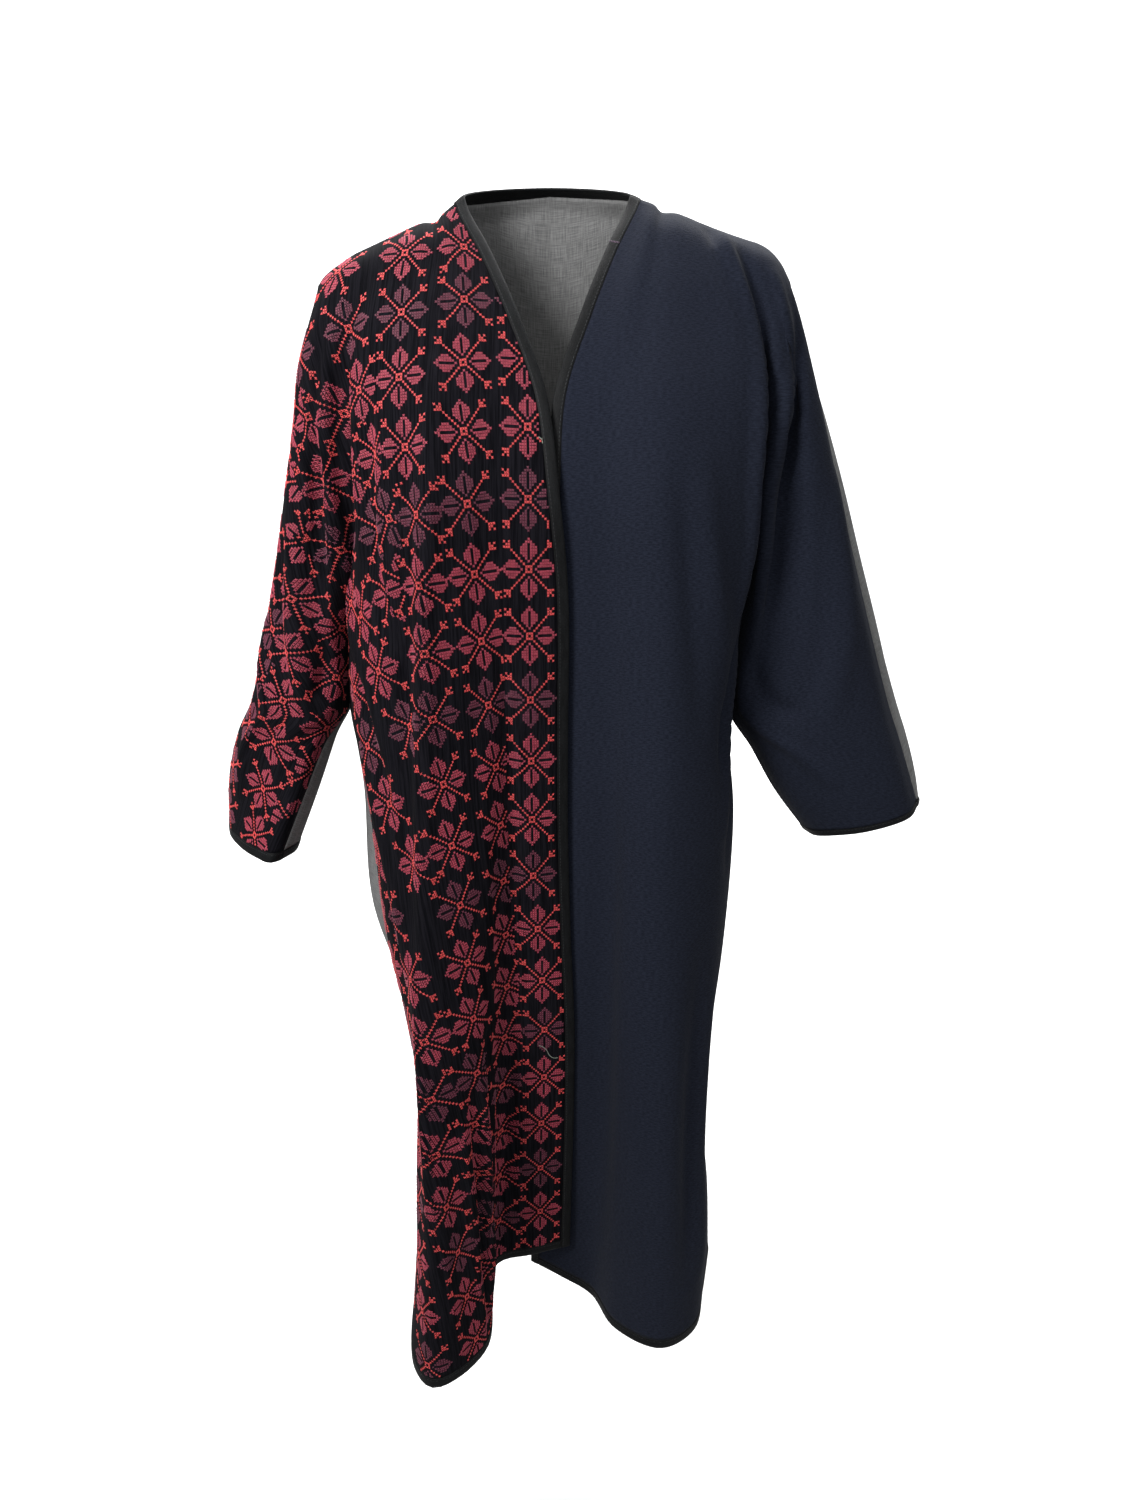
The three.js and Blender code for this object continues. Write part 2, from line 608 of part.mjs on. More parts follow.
function frontPieces(front, flip) {
  return {
    panel: [
      ...cells(front.upper, flip, undefined, [1, BOUND]),
      ...cells(front.lower, flip, [0, hemRow], [1, BOUND]),
      ...cells(front.shoulder, flip),
      ...cells(front.sleeve, flip, [0, cuffRow]),
    ],
    edge: [front.upper, front.lower].flatMap((grid) => cells(grid, flip, undefined, [0, 1])),
    hem: cells(front.lower, flip, [hemRow, hemRow + 1], [1, BOUND]),
    cuff: cells(front.sleeve, flip, [cuffRow, cuffRow + 1]),
  };
}

function backPieces(back, flip) {
  return {
    panel: [
      ...cells(back.upper, flip),
      ...cells(back.lower, flip, [0, hemRow]),
      ...cells(back.shoulder, flip),
      ...cells(back.sleeve, flip, [0, cuffRow]),
    ],
    neck: cells(back.neck, flip),
    hem: cells(back.lower, flip, [hemRow, hemRow + 1]),
    cuff: cells(back.sleeve, flip, [cuffRow, cuffRow + 1]),
  };
}

const right = frontPieces(rightFront, true);
const left = frontPieces(leftFront, false);
const rearRight = backPieces(rightBack, false);
const rearLeft = backPieces(leftBack, true);

// name, material, thickness, cells. The neck's binding runs on from the right front's.
const PIECES = [
  ["front_right", "embroidered", CLOTH, right.panel],
  ["front_left", "navy", CLOTH, left.panel],
  ["back", "grey", CLOTH, [...rearRight.panel, ...rearLeft.panel]],
  ["binding_right", "binding", BINDING, [...right.edge, ...rearRight.neck, ...rearLeft.neck]],
  ["binding_left", "binding", BINDING, left.edge],
  ["hem_binding_right", "binding", BINDING, right.hem],
  ["hem_binding_left", "binding", BINDING, left.hem],
  ["hem_binding_back", "binding", BINDING, [...rearRight.hem, ...rearLeft.hem]],
  ["cuff_binding_right", "binding", BINDING, [...right.cuff, ...rearRight.cuff]],
  ["cuff_binding_left", "binding", BINDING, [...left.cuff, ...rearLeft.cuff]],
];

const down = V3(0, 0, -1);
const crotches = [rightFront, leftFront].map((front) => [front.lower[0][BOUND], down]);
const normals = outwardDirections(PIECES.flatMap((piece) => piece[3]), crotches);

const abaya = new THREE.Group();
for (const [name, material, thickness, pieceCells] of PIECES) {
  const mesh = new THREE.Mesh(
    wall(pieceCells, thickness, normals),
    new THREE.MeshStandardMaterial({ ...MATERIALS[material], metalness: 0 }),
  );
  mesh.name = name;
  abaya.add(mesh);
}

export default abaya;
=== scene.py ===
# %% [markdown]
# # An open-fronted abaya, worn and hollow
# The robe has two fronts, each cut in one with its sleeve, a back cut in one with both sleeves, and
# a narrow binding round every edge. One front is covered in cross-stitch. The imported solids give
# the places and sizes. Here each piece of cloth becomes a fine thin shell with its creases, and
# the stitches are laid on it one by one, because that is how such a robe is made.

import math
from collections import namedtuple

import bmesh
import bpy
import numpy as np
from mathutils.bvhtree import BVHTree
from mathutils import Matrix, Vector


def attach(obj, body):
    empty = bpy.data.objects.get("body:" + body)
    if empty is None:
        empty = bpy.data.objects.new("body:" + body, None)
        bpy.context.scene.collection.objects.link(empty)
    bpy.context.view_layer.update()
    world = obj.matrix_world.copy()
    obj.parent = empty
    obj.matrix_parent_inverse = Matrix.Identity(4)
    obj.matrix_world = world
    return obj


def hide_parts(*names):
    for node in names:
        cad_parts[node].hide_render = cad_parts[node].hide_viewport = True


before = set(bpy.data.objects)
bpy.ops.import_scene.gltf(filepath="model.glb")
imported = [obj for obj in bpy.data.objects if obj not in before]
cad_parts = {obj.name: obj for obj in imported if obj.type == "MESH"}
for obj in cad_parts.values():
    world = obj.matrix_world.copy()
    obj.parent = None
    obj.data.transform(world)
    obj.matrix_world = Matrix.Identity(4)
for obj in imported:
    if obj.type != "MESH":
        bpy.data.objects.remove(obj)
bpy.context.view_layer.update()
MM = 0.001  # the tables below are in millimetres, and Blender works in metres

# %% [markdown]
# ## The camera
# A camera is an object with a lens. The robe is seen from close by with a wide lens, from a little
# under the shoulders, looking down by 18 degrees. This makes its front fold reach far down the
# picture, so the place of the camera matters as much as its direction.

# %% Camera
CAMERA_PLACE = (0.012, -1.075, -0.160)  # metres
LOOKS_DOWN = math.radians(18)
LENS = 26.7  # millimetres

camera = bpy.data.objects.new("camera", bpy.data.cameras.new("camera"))
camera.data.lens = LENS
camera.location = CAMERA_PLACE
camera.rotation_euler = (math.radians(90) - LOOKS_DOWN, 0, 0)
bpy.context.scene.collection.objects.link(camera)
bpy.context.scene.camera = camera
print(f"camera: {LENS} mm lens, looking down {math.degrees(LOOKS_DOWN):.0f} degrees")

# %% [markdown]
# ## Floor and light
# A robe that is worn hangs clear of the ground, so a pale floor lies below it and curves up into a
# backdrop. Large area lights give soft shadows: cloth shows its folds best when one side is a
# little brighter than the other.

# %% The floor's white
FLOOR_WHITE = 0.95
FLOOR_ROUGHNESS = 0.95
FLOOR_BOUNCE = 0.25  # light that bounces off the floor meets this grey, so it doesn't lift the hem


def new_material(name):
    """A material, its node tree and its shader."""
    material = bpy.data.materials.new(name)
    material.use_nodes = True
    return material, material.node_tree, material.node_tree.nodes["Principled BSDF"]


def node(tree, kind, **values):
    """A node with its settings. A key that names an input sets that input's value."""
    made = tree.nodes.new(kind)
    for key, value in values.items():
        if hasattr(made, key):
            setattr(made, key, value)
        else:
            made.inputs[key.replace("_", " ")].default_value = value
    return made


def studio_white():
    """White where the camera looks at it, and grey for the light that bounces."""
    material, tree, shader = new_material("studio_white")
    ray = node(tree, "ShaderNodeLightPath")
    white = node(tree, "ShaderNodeMapRange", To_Min=FLOOR_BOUNCE, To_Max=FLOOR_WHITE)
    tree.links.new(ray.outputs["Is Camera Ray"], white.inputs["Value"])
    tree.links.new(white.outputs["Result"], shader.inputs["Base Color"])
    shader.inputs["Roughness"].default_value = FLOOR_ROUGHNESS
    return material


print(f"the floor is {FLOOR_WHITE} white to the eye, and {FLOOR_BOUNCE} to the light")

# %% Floor and backdrop
FLOOR = -1.42
SWEEP_WIDTH = 12.0
SWEEP_PROFILE = [(-7.0, 0.0), (2.4, 0.0), (3.2, 0.12), (3.8, 0.5), (4.0, 1.2), (4.0, 5.0)]  # y, z


def sweep():
    """A floor that turns up behind the object: one edge line, extruded sideways."""
    bm = bmesh.new()
    line = [bm.verts.new((-SWEEP_WIDTH / 2, y, FLOOR + z)) for y, z in SWEEP_PROFILE]
    edges = [bm.edges.new(pair) for pair in zip(line, line[1:])]
    side = bmesh.ops.extrude_edge_only(bm, edges=edges)
    moved = [part for part in side["geom"] if isinstance(part, bmesh.types.BMVert)]
    bmesh.ops.translate(bm, verts=moved, vec=(SWEEP_WIDTH, 0, 0))
    bmesh.ops.recalc_face_normals(bm, faces=bm.faces)
    mesh = bpy.data.meshes.new("studio_floor")
    bm.to_mesh(mesh)
    bm.free()
    mesh.shade_smooth()
    floor = bpy.data.objects.new("studio_floor", mesh)
    bpy.context.scene.collection.objects.link(floor)
    floor.data.materials.append(studio_white())


sweep()
print(f"floor at {FLOOR} m, {SWEEP_WIDTH} m wide, in {len(SWEEP_PROFILE) - 1} strips")

# %% Lights
Light = namedtuple("Light", "name place aims_at size power")
LIGHTS = [
    Light("key", (-1.0, -1.25, 0.7), (0, 0, -0.22), 0.7, 41),
    Light("fill", (1.8, -1.1, 0.4), (0, 0, -0.4), 1.0, 6),
    Light("rim", (1.0, 1.9, 1.4), (0, 0, -0.4), 1.6, 22),
    Light("floor_wash", (0, 2.0, 2.4), (0, 3.2, -1.0), 3.2, 290),
    Light("front_floor_wash", (0, -4.4, 2.2), (0, -4.8, -1.4), 3.4, 110),
]


def add_light(light):
    data = bpy.data.lights.new(light.name, "AREA")
    data.shape = "DISK"
    data.size = light.size
    data.energy = light.power
    lamp = bpy.data.objects.new(light.name, data)
    lamp.location = light.place
    towards = np.subtract(light.aims_at, light.place)
    lamp.rotation_euler = Vector(towards).to_track_quat("-Z", "Y").to_euler()
    bpy.context.scene.collection.objects.link(lamp)


for light in LIGHTS:
    add_light(light)
print(f"{len(LIGHTS)} lights, {sum(light.power for light in LIGHTS)} watts in all")

# %% Light from all round
WORLD_LIGHT = 0.24


def studio_world():
    """Dim light on the robe, but plain white where the camera sees past the floor."""
    world = bpy.data.worlds.new("studio")
    world.use_nodes = True
    tree = world.node_tree
    dim = tree.nodes["Background"]
    dim.inputs["Color"].default_value = (0.95, 0.97, 1.0, 1)
    dim.inputs["Strength"].default_value = WORLD_LIGHT
    white = node(tree, "ShaderNodeBackground", Color=(1, 1, 1, 1))
    ray = node(tree, "ShaderNodeLightPath")
    either = node(tree, "ShaderNodeMixShader")
    tree.links.new(ray.outputs["Is Camera Ray"], either.inputs["Fac"])
    tree.links.new(dim.outputs[0], either.inputs[1])
    tree.links.new(white.outputs[0], either.inputs[2])
    tree.links.new(either.outputs[0], tree.nodes["World Output"].inputs["Surface"])
    return world


bpy.context.scene.world = studio_world()
bpy.context.scene.view_settings.view_transform = "Standard"  # black cloth stays black, white stays white
print(f"light from all round: {WORLD_LIGHT}")

# %% [markdown]
# ## The cut of the robe
# The cloth is drawn like a ship's hull. A row of each table is a section across the garment, and
# each pair of columns is a line that runs down it: the front edge, the foot and the crest of the
# big fold, the turn of the body, and so on. `x` is measured outwards from the middle, and `y` is
# below 0 in front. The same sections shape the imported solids, so shell and solid agree.

# %% Driving sizes and the columns of the tables
BINDING_WIDTH = 10  # all tables are in millimetres
CUFF_BINDING_WIDTH = 8
NECK_BACK_DEPTH = 52
NECK_BACK_RISE = 14
UNDERARM = -455  # height below the shoulder's neck end
BACK_HEM = -1122
UNDERARM_ROW = 7  # sections are counted down from the shoulder, which is 0
HEM_ROW = 13
CUFF_ROW = 10


def table(columns, rows):
    """Rows with named columns, as a list of named tuples."""
    Row = namedtuple("Row", columns)
    return [Row(*row) for row in rows]


# drop: height below the shoulder line. level: 0 where the section slopes with the shoulder.
UPPER = "drop level edgeX edgeY footX footY crestX crestY turnX turnY sideX sideY seamX seamY"
SLEEVE = "lipX lipY hollowX hollowY frontX frontY outerX outerY seamX seamY"
# share: how far down from underarm to hem. flank: how steep the big fold's inner side is.
LOWER = "share flank edgeX edgeY footX footY crestX crestY turnX turnY sideX sideY seamX seamY"
HEM = "edge foot crest turn side seam"
SHOULDER = "x z"

Half = namedtuple("Half", "side shoulder upper lower hem upper_sleeve lower_sleeve")
print(f"underarm at {UNDERARM} mm, hem of the back at {BACK_HEM} mm")

# %% Tables of the right half
RIGHT = Half(
    side=-1,
    shoulder=table(SHOULDER, [[74, 0], [91, -14], [134, -31], [172, -47], [198, -63], [206, -73]]),
    upper=table(UPPER, [
        [0, 0, 74, 0, 93, 0, 112, 0, 134, 0, 150, 0, 163, 0],
        [14, 0.03, 69, -9, 89, -22, 110, -27, 133, -28, 150, -28, 163, -27],
        [45, 0.1, 51, -31, 80, -46, 106, -50, 130, -50, 149, -49, 163, -44],
        [100, 0.35, 25, -68, 66, -78, 99, -82, 130, -78, 155, -70, 168, -52],
        [165, 0.65, 1, -101, 55, -106, 96, -112, 130, -103, 157, -84, 170, -56],
        [240, 0.9, -9, -118, 50, -121, 98, -132, 132, -118, 160, -90, 172, -54],
        [330, 1, -17, -115, 54, -122, 104, -134, 143, -114, 170, -82, 184, -42],
    ]),
    lower=table(LOWER, [
        [0, 0.33, -17, -106, 60, -120, 110, -138, 156, -107, 182, -62, 198, -14],
        [0.156, 0.3, -17, -99, 56, -116, 114, -144, 156, -104, 175, -58, 182, -14],
        [0.35, 0.27, -20, -91, 52, -108, 118, -158, 150, -106, 165, -60, 171, -20],
        [0.523, 0.25, -24, -84, 53, -102, 119, -173, 129, -126, 143, -66, 148, -16],
        [0.68, 0.2, -24, -76, 56, -96, 117, -183, 131, -138, 137, -68, 140, -12],
        [0.85, 0.15, -22, -70, 60, -92, 118, -190, 136, -156, 143, -74, 146, -10],
        [1, 0.1, -20, -66, 62, -88, 118, -196, 141, -172, 152, -78, 150, -10],
    ]),
    hem=table(HEM, [[-1068, -1076, -1130, -1131, -1124, -1120]])[0],
    upper_sleeve=table(SLEEVE, [
        [173, 0, 182, 0, 191, 0, 200, 0, 206, 0],
        [173, -27, 182, -27, 191, -25, 202, -16, 209, 0],
        [177, -44, 187, -42, 198, -39, 210, -26, 218, 0],
        [190, -55, 199, -47, 208, -46, 221, -32, 229, 1],
        [198, -60, 206, -50, 214, -51, 228, -34, 236, 3],
        [199, -64, 209, -50, 219, -54, 239, -35, 248, 5],
        [202, -62, 213, -53, 230, -57, 257, -32, 266, 8],
        [208, -42, 224, -56, 245, -60, 291, -22, 300, 12],
    ]),
    lower_sleeve=table("innerZ outerZ underX underY " + SLEEVE, [
        [-490, -497, 221, -33, 230, -52, 248, -54, 267, -48, 308, -14, 322, 22],
        [-535, -548, 240, -49, 249, -63, 267, -55, 287, -40, 322, -8, 338, 30],
        [-602, -602, 267, -65, 275, -72, 291, -59, 309, -39, 332, -2, 344, 35],
    ]),
)
print(f"right half: {len(RIGHT.upper + RIGHT.lower)} sections of the body")

# %% Tables of the left half
LEFT = Half(
    side=1,
    shoulder=table(SHOULDER, [[71, 0], [111, -14], [156, -30], [186, -39], [202, -48], [215, -70]]),
    upper=table(UPPER, [
        [0, 0, 71, 0, 92, 0, 112, 0, 134, 0, 150, 0, 163, 0],
        [14, 0.03, 66, -9, 88, -22, 110, -27, 133, -28, 150, -28, 163, -27],
        [45, 0.1, 50, -31, 80, -46, 106, -50, 132, -50, 153, -48, 168, -43],
        [100, 0.35, 27, -66, 66, -76, 99, -80, 134, -74, 168, -66, 178, -50],
        [165, 0.65, 5, -96, 55, -102, 96, -110, 133, -101, 177, -79, 186, -53],
        [240, 0.9, 0, -110, 50, -116, 97, -131, 132, -118, 179, -84, 187, -50],
        [330, 1, -4, -106, 54, -115, 102, -134, 147, -114, 177, -80, 184, -40],
    ]),
    lower=table(LOWER, [
        [0, 0.33, -6, -96, 58, -110, 105, -134, 149, -108, 167, -62, 174, -10],
        [0.156, 0.33, -8, -88, 56, -103, 108, -135, 157, -105, 178, -58, 185, -8],
        [0.35, 0.33, -11, -79, 54, -94, 112, -136, 157, -104, 175, -58, 180, -8],
        [0.523, 0.33, -14, -71, 52, -85, 115, -137, 151, -105, 165, -60, 168, -8],
        [0.68, 0.33, -18, -62, 50, -76, 117, -136, 149, -107, 163, -61, 166, -8],
        [0.85, 0.33, -21, -50, 47, -68, 118, -134, 156, -109, 171, -62, 178, -8],
        [1, 0.33, -24, -43, 45, -64, 118, -132, 156, -109, 170, -62, 183, -8],
    ]),
    hem=table(HEM, [[-1110, -1138, -1145, -1143, -1138, -1130]])[0],
    upper_sleeve=table(SLEEVE, [
        [175, 0, 186, 0, 196, 0, 206, 0, 215, 0],
        [175, -27, 186, -27, 197, -25, 209, -16, 218, 0],
        [184, -45, 192, -41, 203, -39, 218, -27, 227, 0],
        [197, -57, 204, -46, 213, -49, 230, -33, 239, 0],
        [203, -62, 210, -48, 222, -54, 243, -38, 253, -1],
        [200, -65, 210, -48, 234, -58, 259, -41, 270, -5],
        [196, -62, 208, -50, 250, -60, 282, -42, 294, -10],
        [192, -46, 210, -54, 264, -62, 316, -45, 333, -14],
    ]),
    lower_sleeve=table("innerZ outerZ underX underY " + SLEEVE, [
        [-504, -492, 203, -9, 212, -38, 229, -52, 276, -62, 329, -47, 347, -16],
        [-547, -528, 228, -9, 236, -36, 252, -50, 290, -60, 342, -47, 360, -17],
        [-592, -562, 262, -8, 268, -33, 281, -47, 312, -56, 355, -44, 372, -18],
    ]),
)
print(f"left half: {len(LEFT.upper + LEFT.lower)} sections of the body")

# %% Tables of the back
BACK_UPPER = table("middleY napeY bladeX bladeY sideX sideY seamX seamY", [
    [52, 0, 110, 0, 137, 0, 163, 0],
    [62, 36, 110, 25, 137, 25, 163, 24],
    [73, 62, 112, 50, 140, 47, 167, 42],
    [85, 82, 114, 76, 148, 68, 179, 54],
    [92, 91, 116, 87, 154, 77, 187, 60],
    [95, 95, 118, 91, 158, 80, 191, 59],
    [95, 95, 120, 92, 162, 78, 193, 46],
])
BACK_LOWER = table("middleY napeY bladeY sideY rightX leftX", [
    [95, 94, 92, 66, 196, 172],
    [95, 95, 93, 67, 194, 181],
    [96, 96, 95, 70, 193, 176],
    [98, 98, 97, 72, 160, 164],
    [101, 100, 98, 74, 143, 162],
    [104, 102, 99, 75, 149, 176],
    [106, 104, 100, 76, 153, 181],
])
BACK_SLEEVE = table("innerX innerY middleX middleY outerX outerY", [
    [174, 0, 188, 0, 202, 0],
    [176, 24, 190, 22, 205, 14],
    [181, 42, 198, 37, 213, 24],
    [193, 52, 209, 46, 225, 30],
    [201, 57, 219, 50, 238, 32],
    [206, 57, 231, 52, 251, 33],
    [212, 52, 243, 54, 271, 34],
])
BACK_SLEEVE_END = {
    -1: table("innerX innerY middleX middleY outerX outerY", [
        [203, 28, 243, 60, 286, 50],
        [216, -2, 250, 54, 300, 56],
        [232, -18, 264, 44, 311, 60],
        [257, -36, 284, 22, 322, 54],
    ]),
    1: table("innerX innerY middleX middleY outerX outerY", [
        [200, 38, 262, 58, 325, 32],
        [216, 34, 276, 54, 341, 28],
        [240, 31, 292, 49, 356, 25],
        [271, 28, 318, 44, 369, 21],
    ]),
}
# How far the back's sleeve stands out past its outer seam, row by row from the shoulder down.
SLEEVE_BULGE = {-1: [0] * 11, 1: [0, 0, 0, 2, 5, 8, 10, 12, 12, 10, 5]}
# The back's hanging folds: x at the underarm, x at the hem, height at the hem, half-width there.
BACK_FOLDS = table("topX hemX height width", [
    [-118, -128, 15, 22],
    [-86, -92, -12, 20],
    [-48, -55, 17, 24],
    [-4, -12, -11, 24],
    [38, 40, 18, 25],
    [80, 86, -12, 20],
    [118, 132, 16, 22],
])
print(f"back: {len(BACK_UPPER + BACK_LOWER)} sections and {len(BACK_FOLDS)} hanging folds")

# %% [markdown]
# ## Smooth lines through the sections
# A centripetal Catmull-Rom curve passes through every point it is given and doesn't overshoot
# where points lie close together. It is used twice: down the lines of the tables, and then across
# each new section. NumPy works it out for all lines at once, which is much faster than a loop.

# %% Curves
def spline(points, places):
    """Points on smooth lines. points is (count, ..., 3) and places run from 0 to count - 1."""
    points = np.asarray(points, float)
    ends = (2 * points[:1] - points[1:2], points, 2 * points[-1:] - points[-2:-1])
    padded = np.concatenate(ends)
    places = np.asarray(places, float)
    span = np.clip(places.astype(int), 0, len(points) - 2)
    w = (places - span).reshape((-1,) + (1,) * (points.ndim - 1))
    a, b, c, d = (padded[span + i] for i in range(4))
    pairs = ((a, b), (b, c), (c, d))
    before, mid, after = (np.sqrt(np.linalg.norm(q - p, axis=-1, keepdims=True)) for p, q in pairs)
    mid = np.maximum(mid, 1e-6)
    before = np.where(before < 1e-4, mid, before)
    after = np.where(after < 1e-4, mid, after)
    leave = mid * ((b - a) / before - (c - a) / (before + mid) + (c - b) / mid)
    arrive = mid * ((c - b) / mid - (d - b) / (mid + after) + (d - c) / after)
    bend, twist = 3 * (c - b) - 2 * leave - arrive, 2 * (b - c) + leave + arrive
    return b + leave * w + bend * w**2 + twist * w**3


def smooth_line(points, count):
    """A smooth line through a list of points."""
    return spline(points, np.linspace(0, len(points) - 1, count))


circle = smooth_line([(1, 0), (0, 1), (-1, 0), (0, -1), (1, 0)], 5 * 8)
print(f"a line through 4 points of a circle strays {np.ptp(np.linalg.norm(circle, axis=1)):.2f} from it")

# %% Lengths along curves
FINE = 24  # samples in each space of a section, to measure lengths along it


def run(points, axis):
    """Length along a line, or along the rows or columns of a grid, from its first point."""
    steps = np.linalg.norm(np.diff(points, axis=axis), axis=-1)
    first = np.zeros_like(steps.take([0], axis))
    return np.concatenate([first, np.cumsum(steps, axis)], axis)


def follow(length, points, at):
    """Places at some lengths along a line of points."""
    return np.stack([np.interp(at, length, points[:, k]) for k in range(points.shape[1])], 1)


def across(sections, shares):
    """sections is (rows, count, 3). Returns (rows, len(shares), 3), spread by length."""
    count = sections.shape[1]
    line = spline(np.swapaxes(sections, 0, 1), np.linspace(0, count - 1, (count - 1) * FINE + 1))
    line = np.swapaxes(line, 0, 1)
    length = run(line, 1)
    out = np.empty((len(line), len(shares), 3))
    for r, row in enumerate(line):
        out[r] = follow(length[r], row, np.asarray(shares) * length[r, -1])
    return out


print(f"and that line is {run(circle, 0)[-1]:.2f} long, where a circle has {2 * np.pi:.2f}")


# %% Heights on the shoulder's slope
def mix(a, b, t):
    return a + (b - a) * t


def shoulder_height(half, x):
    return np.interp(x, [p.x for p in half.shoulder], [p.z for p in half.shoulder])


def upper_height(half, row, x):
    return -row.drop + shoulder_height(half, x) * (1 - row.level)


for half in (RIGHT, LEFT):
    print(f"shoulder end of side {half.side}: {half.shoulder[-1].x} mm out, {half.shoulder[-1].z} mm high")

# %% Sections of a front and of its sleeve
FLANK = 0.33  # above the underarm, how steep the big fold's inner side is
FLANK_DROP = 0.86  # the fold's inner side hangs almost as low as its crest, so its hem is round
CUFF_SLOPE = (0, 0.12, 0.3, 0.55, 0.85, 1)  # how far a lower sleeve's lines have sunk, from underarm out


def body_section(row, heights):
    edge_z, foot_z, crest_z, turn_z, side_z, seam_z = heights
    flank = getattr(row, "flank", FLANK)
    flank_z = mix(foot_z, crest_z, FLANK_DROP)
    return [
        (row.edgeX, row.edgeY, edge_z),
        (mix(row.edgeX, row.footX, 0.5), mix(row.edgeY, row.footY, 0.42), mix(edge_z, foot_z, 0.5)),
        (row.footX, row.footY, foot_z),
        (mix(row.footX, row.crestX, flank), mix(row.footY, row.crestY, 0.6), flank_z),
        (row.crestX, row.crestY, crest_z),
        (row.turnX, row.turnY, turn_z),
        (row.sideX, row.sideY, side_z),
        (row.seamX, row.seamY, seam_z),
    ]


def sleeve_tops(half):
    top = half.upper_sleeve[0]
    return [half.upper[0].seamX, top.lipX, top.hollowX, top.frontX, top.outerX, top.seamX]


def sleeve_section(first, row, heights):
    pairs = [first, row[-10:-8], row[-8:-6], row[-6:-4], row[-4:-2], row[-2:]]
    return [(x, y, z) for (x, y), z in zip(pairs, heights)]


def outward(half, sections):
    """Turns outward x into the robe's own x, in metres."""
    return np.array(sections, float) * [half.side * MM, MM, MM]


def front_sections(half):
    top = half.upper[0]
    tops = [top.edgeX, top.footX, top.crestX, top.turnX, top.sideX, top.seamX]
    body = [body_section(row, [upper_height(half, row, x) for x in tops]) for row in half.upper]
    for row in half.lower:
        body.append(body_section(row, [mix(UNDERARM, z, row.share) for z in half.hem]))
    sleeve = []
    for above, row in zip(half.upper, half.upper_sleeve):
        heights = [upper_height(half, above, x) for x in sleeve_tops(half)]
        sleeve.append(sleeve_section((above.seamX, above.seamY), row, heights))
    under = half.lower[0]
    sleeve.append(sleeve_section((under.seamX, under.seamY), half.upper_sleeve[-1], [UNDERARM] * 6))
    for row in half.lower_sleeve:
        heights = [mix(row.innerZ, row.outerZ, share) for share in CUFF_SLOPE]
        sleeve.append(sleeve_section((row.underX, row.underY), row, heights))
    return outward(half, body), outward(half, sleeve)


for half in (RIGHT, LEFT):
    body, sleeve = front_sections(half)
    print(f"front, side {half.side}: {len(body)} sections of the body, {len(sleeve)} of the sleeve")

# %% Sections of the back's body
BACK_TOPS = (112, 137, 163)  # where the back's outer lines start on the shoulder
BLADE = 120  # the shoulder blade's line starts here at the underarm
BLADE_SHARE = 0.72  # and soon hangs at this share of the way to the side seam
SIDE_DEPTH = 0.45  # below the underarm, the line beside the seam is this much flatter than sideY


def back_body_sections(half):
    nape_x = half.shoulder[0].x + BINDING_WIDTH
    body = []
    for above, row in zip(half.upper, BACK_UPPER):
        z = [upper_height(half, above, x) for x in (nape_x, *BACK_TOPS)]
        body.append([
            (0, row.middleY, NECK_BACK_RISE * (1 - above.level) - above.drop),
            (nape_x, row.napeY, z[0]),
            (row.bladeX, row.bladeY, z[1]),
            (row.sideX, row.sideY, z[2]),
            (row.seamX, row.seamY, z[3]),
        ])
    for r, (front, row) in enumerate(zip(half.lower, BACK_LOWER)):
        z = [mix(UNDERARM, mix(BACK_HEM, half.hem.seam, i / 4), front.share) for i in range(5)]
        blade_x = mix(BLADE, BLADE_SHARE * front.seamX, min(1, r / 2))
        body.append([
            (0, row.middleY, z[0]),
            (nape_x, row.napeY, z[1]),
            (blade_x, row.bladeY, z[2]),
            (row.rightX if half.side < 0 else row.leftX, row.sideY * SIDE_DEPTH, z[3]),
            (front.seamX, front.seamY, z[4]),
        ])
    return outward(half, body)


print(f"back: {len(back_body_sections(RIGHT))} sections in each half")


# %% Sections of the back's sleeves
def back_sleeve_sections(half):
    sleeve = []
    bulges = SLEEVE_BULGE[half.side]
    for r, (above, row) in enumerate(zip(half.upper, BACK_SLEEVE)):
        under, seam = BACK_UPPER[r], half.upper_sleeve[r]
        z = [upper_height(half, above, x) for x in sleeve_tops(half)]
        sleeve.append([
            (under.seamX, under.seamY, z[0]),
            (row.innerX, row.innerY, z[1]),
            (mix(row.middleX, seam.frontX, 0.4), row.middleY, z[3]),
            (mix(row.outerX, seam.outerX, 0.7), row.outerY, z[4]),
            (seam.seamX + bulges[r], mix(seam.seamY, row.outerY, 0.35), mix(z[5], z[4], 0.1)),
            (seam.seamX, seam.seamY, z[5]),
        ])
    first = half.lower[0]
    for r, row in enumerate(BACK_SLEEVE_END[half.side]):
        seam = half.lower_sleeve[r - 1] if r else half.upper_sleeve[-1]
        inner, outer = (seam.innerZ, seam.outerZ) if r else (UNDERARM, UNDERARM)
        start = (seam.underX, seam.underY) if r else (first.seamX, first.seamY)
        sleeve.append([
            (*start, inner),
            (row.innerX, row.innerY, mix(inner, outer, 0.15)),
            (row.middleX, row.middleY, mix(inner, outer, 0.5)),
            (row.outerX, row.outerY, mix(inner, outer, 0.85)),
            (
                seam.seamX + bulges[r + UNDERARM_ROW],
                mix(seam.seamY, row.outerY, 0.35),
                mix(inner, outer, 0.97),
            ),
            (seam.seamX, seam.seamY, outer),
        ])
    return outward(half, sleeve)


print(f"back sleeve: {len(back_sleeve_sections(RIGHT))} sections")

